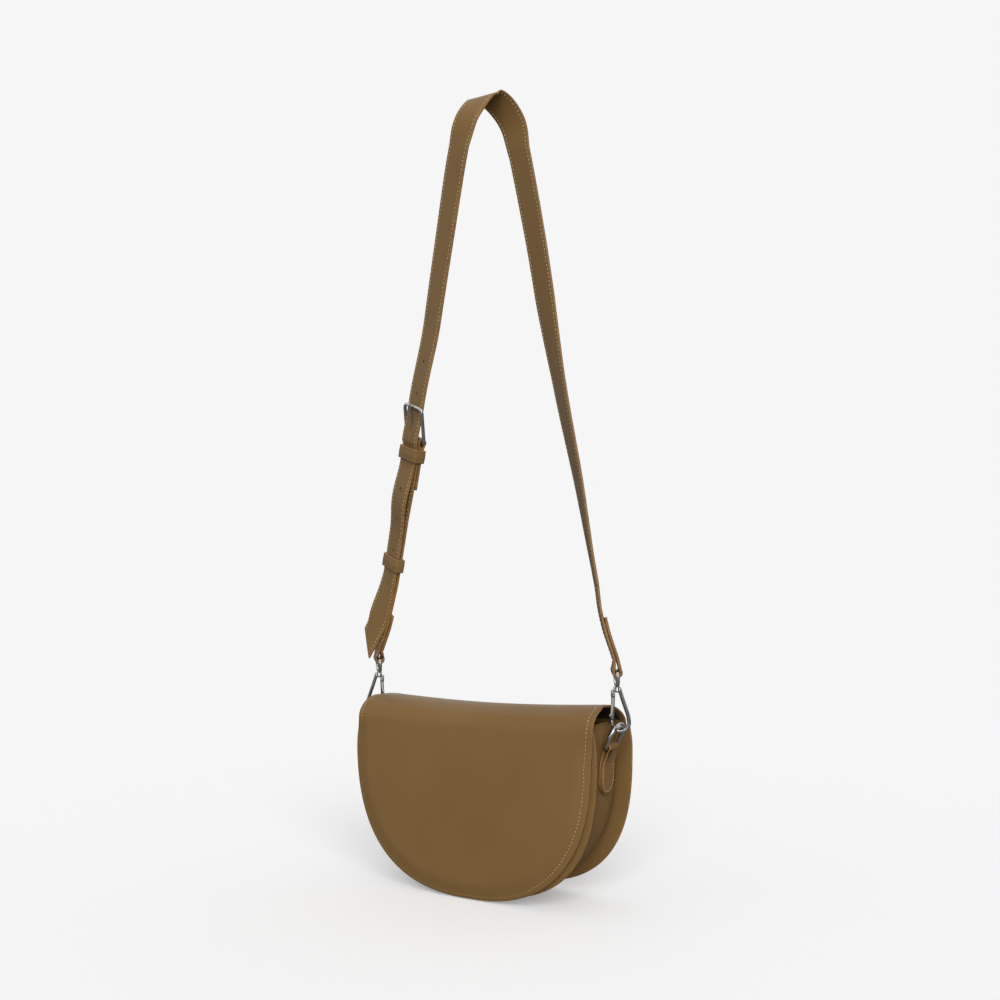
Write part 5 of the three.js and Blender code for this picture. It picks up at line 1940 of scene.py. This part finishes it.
@dataclass
class Studio:
    """Pale floor, soft even light and the camera of the photograph."""

    floor_z: float = -0.6493
    pale: str = "#F6F6F6"
    camera_at: tuple[float, float, float] = (0.5990, -0.9706, -0.3396)
    azimuth: float = 31.09
    tilt: float = 0.46
    lens: float = 50.0
    sky: float = 0.37
    key: float = 2.6
    fill: float = 0.06
    rear: float = 0.25
    lift: float = 0.275
    card_away: float = 2.2
    card_half: float = 1.5  # half height of the cards
    paper: tuple[float, float] = (0.62, 0.25)  # tone added for the camera, and tone for other rays
    fade: tuple[float, float] = (0.25, 0.7)  # distance over which the floor turns to background

    def camera(self) -> None:
        """Sets the camera at the photograph's viewpoint."""
        data = bpy.data.cameras.new("photo_camera")
        data.lens = self.lens
        data.sensor_width = 36.0
        data.sensor_fit = "HORIZONTAL"
        data.clip_start = 0.01
        cam = link("photo_camera", data)
        az, up = math.radians(self.azimuth), math.radians(self.tilt)
        look = Vector((-math.sin(az) * math.cos(up), math.cos(az) * math.cos(up), math.sin(up)))
        cam.location = self.camera_at
        cam.rotation_euler = look.to_track_quat("-Z", "Y").to_euler()
        bpy.context.scene.camera = cam

    def world(self) -> None:
        """Sets an even pale surround, seen as the background and in the metal."""
        world = bpy.data.worlds.new("studio")
        bpy.context.scene.world = world
        world.use_nodes = True
        tree = world.node_tree
        tree.nodes.clear()
        rays = add_node(tree, "ShaderNodeLightPath").outputs
        seen = rays["Is Camera Ray"]
        for ray in ("Is Glossy Ray", "Is Transmission Ray"):
            seen = add_node(tree, "ShaderNodeMath", {0: seen, 1: rays[ray]}, operation="MAXIMUM").outputs[0]
        light = add_node(tree, "ShaderNodeBackground", {"Color": (1.0, 1.0, 1.0, 1.0), "Strength": self.sky})
        view = add_node(tree, "ShaderNodeBackground", {"Color": linear(self.pale), "Strength": 1.0})
        both = add_node(
            tree, "ShaderNodeMixShader", {0: seen, 1: light.outputs[0], 2: view.outputs[0]}
        )
        add_node(tree, "ShaderNodeOutputWorld", {"Surface": both.outputs[0]})

    def lamps(self) -> None:
        """Sets a broad, low key beside the camera, a weak fill from the left and one behind."""
        for name, power, direction, spread in (
            ("key", self.key, (-0.52, 0.76, -0.42), 45.0),
            ("fill", self.fill, (0.75, 0.6, -0.3), 60.0),
            ("rear", self.rear, (0.1, -0.8, -0.5), 90.0),
        ):
            data = bpy.data.lights.new(name, "SUN")
            data.energy = power
            data.angle = math.radians(spread)
            lamp = link(name, data)
            lamp.rotation_euler = Vector(direction).to_track_quat("-Z", "Y").to_euler()

    def flags(self) -> None:
        """Stands a glowing card and dark ones out of the picture, seen only in reflections: painted
        reflections that draw bright and dark lines in the metal.
        """
        for name, azimuth, wide, glow in (
            # The camera card glows but lights nothing, a painted reflection in the metal; the dark cards
            # paint dark reflections
            ("camera_card", 31.0, 1.5, 0.7),
            ("left_card", -22.0, 1.5, 0.005),
            ("right_card", 84.0, 1.5, 0.005),
            ("far_card", 155.0, 1.6, 0.005),
        ):
            made = blank(name)
            tree = made.node_tree
            card_glow = add_node(tree, "ShaderNodeEmission", {"Color": (1.0, 1.0, 1.0, 1.0), "Strength": glow})
            add_node(tree, "ShaderNodeOutputMaterial", {"Surface": card_glow.outputs[0]})
            a = math.radians(azimuth)
            at = Vector((self.card_away * math.sin(a), -self.card_away * math.cos(a), 0.1))
            bm = bmesh.new()
            bmesh.ops.create_grid(bm, x_segments=1, y_segments=1, size=1.0)
            turn = Matrix.Rotation(a, 4, "Z") @ Matrix.Rotation(math.radians(90.0), 4, "X")
            size = Matrix.Diagonal((wide / 2, self.card_half, 1.0, 1.0))
            bmesh.ops.transform(bm, matrix=Matrix.Translation(at) @ turn @ size, verts=bm.verts)
            mesh = bpy.data.meshes.new(name)
            bm.to_mesh(mesh)
            bm.free()
            mesh.materials.append(made)
            card = link(name, mesh)
            card.visible_camera = False
            card.visible_diffuse = False
            card.visible_shadow = False

    def floor(self) -> None:
        """Lays the floor, which keeps the shadow near the bag and fades to the background."""
        mesh = bpy.data.meshes.new("floor")
        bm = bmesh.new()
        bmesh.ops.create_grid(bm, x_segments=8, y_segments=8, size=30.0)
        bmesh.ops.translate(bm, verts=bm.verts, vec=(0.0, 0.0, self.floor_z))
        bm.to_mesh(mesh)
        bm.free()
        made = blank("pale_paper_floor")
        tree = made.node_tree
        place = add_node(tree, "ShaderNodeTexCoord").outputs["Object"]
        middle = (0.0, 0.02, self.floor_z)
        away = add_node(tree, "ShaderNodeVectorMath", {0: place, 1: middle}, operation="DISTANCE")
        far = add_node(
            tree,
            "ShaderNodeMapRange",
            {"Value": away.outputs["Value"], "From Min": self.fade[0], "From Max": self.fade[1]},
            interpolation_type="SMOOTHSTEP",
        )
        seen = add_node(tree, "ShaderNodeLightPath").outputs["Is Camera Ray"]
        part = add_node(tree, "ShaderNodeMath", {0: seen, 1: self.lift}, operation="MULTIPLY")
        more, base = self.paper
        tone = add_node(tree, "ShaderNodeMath", {0: seen, 1: more, 2: base}, operation="MULTIPLY_ADD")
        paper = add_node(tree, "ShaderNodeBsdfDiffuse", {"Color": tone.outputs[0]})
        lift = add_node(tree, "ShaderNodeEmission", {"Color": linear(self.pale), "Strength": part.outputs[0]})
        near = add_node(tree, "ShaderNodeAddShader", {0: paper.outputs[0], 1: lift.outputs[0]})
        glow = add_node(tree, "ShaderNodeEmission", {"Color": linear(self.pale), "Strength": 1.0})
        share = add_node(tree, "ShaderNodeMath", {0: far.outputs["Result"], 1: seen}, operation="MULTIPLY")
        both = add_node(
            tree, "ShaderNodeMixShader", {0: share.outputs[0], 1: near.outputs[0], 2: glow.outputs[0]}
        )
        add_node(tree, "ShaderNodeOutputMaterial", {"Surface": both.outputs[0]})
        mesh.materials.append(made)
        link("floor", mesh)

    def build(self) -> None:
        """Sets up the studio."""
        self.camera()
        self.world()
        self.lamps()
        self.flags()
        self.floor()
        bpy.context.scene.view_settings.view_transform = "Standard"


def main() -> None:
    """Builds the bag and its studio."""
    logging.basicConfig(level=logging.INFO, format="%(name)s %(message)s")
    Studio().build()
    body = BagBody()
    body.build()
    Flap(body).build()
    for side in Side:
        TabAndRing(side, body).build()
        SwivelHook(side).build()
    strap = Strap(StrapCourse())
    strap.build()
    Buckle(strap).build()


if __name__ == "__main__":
    main()
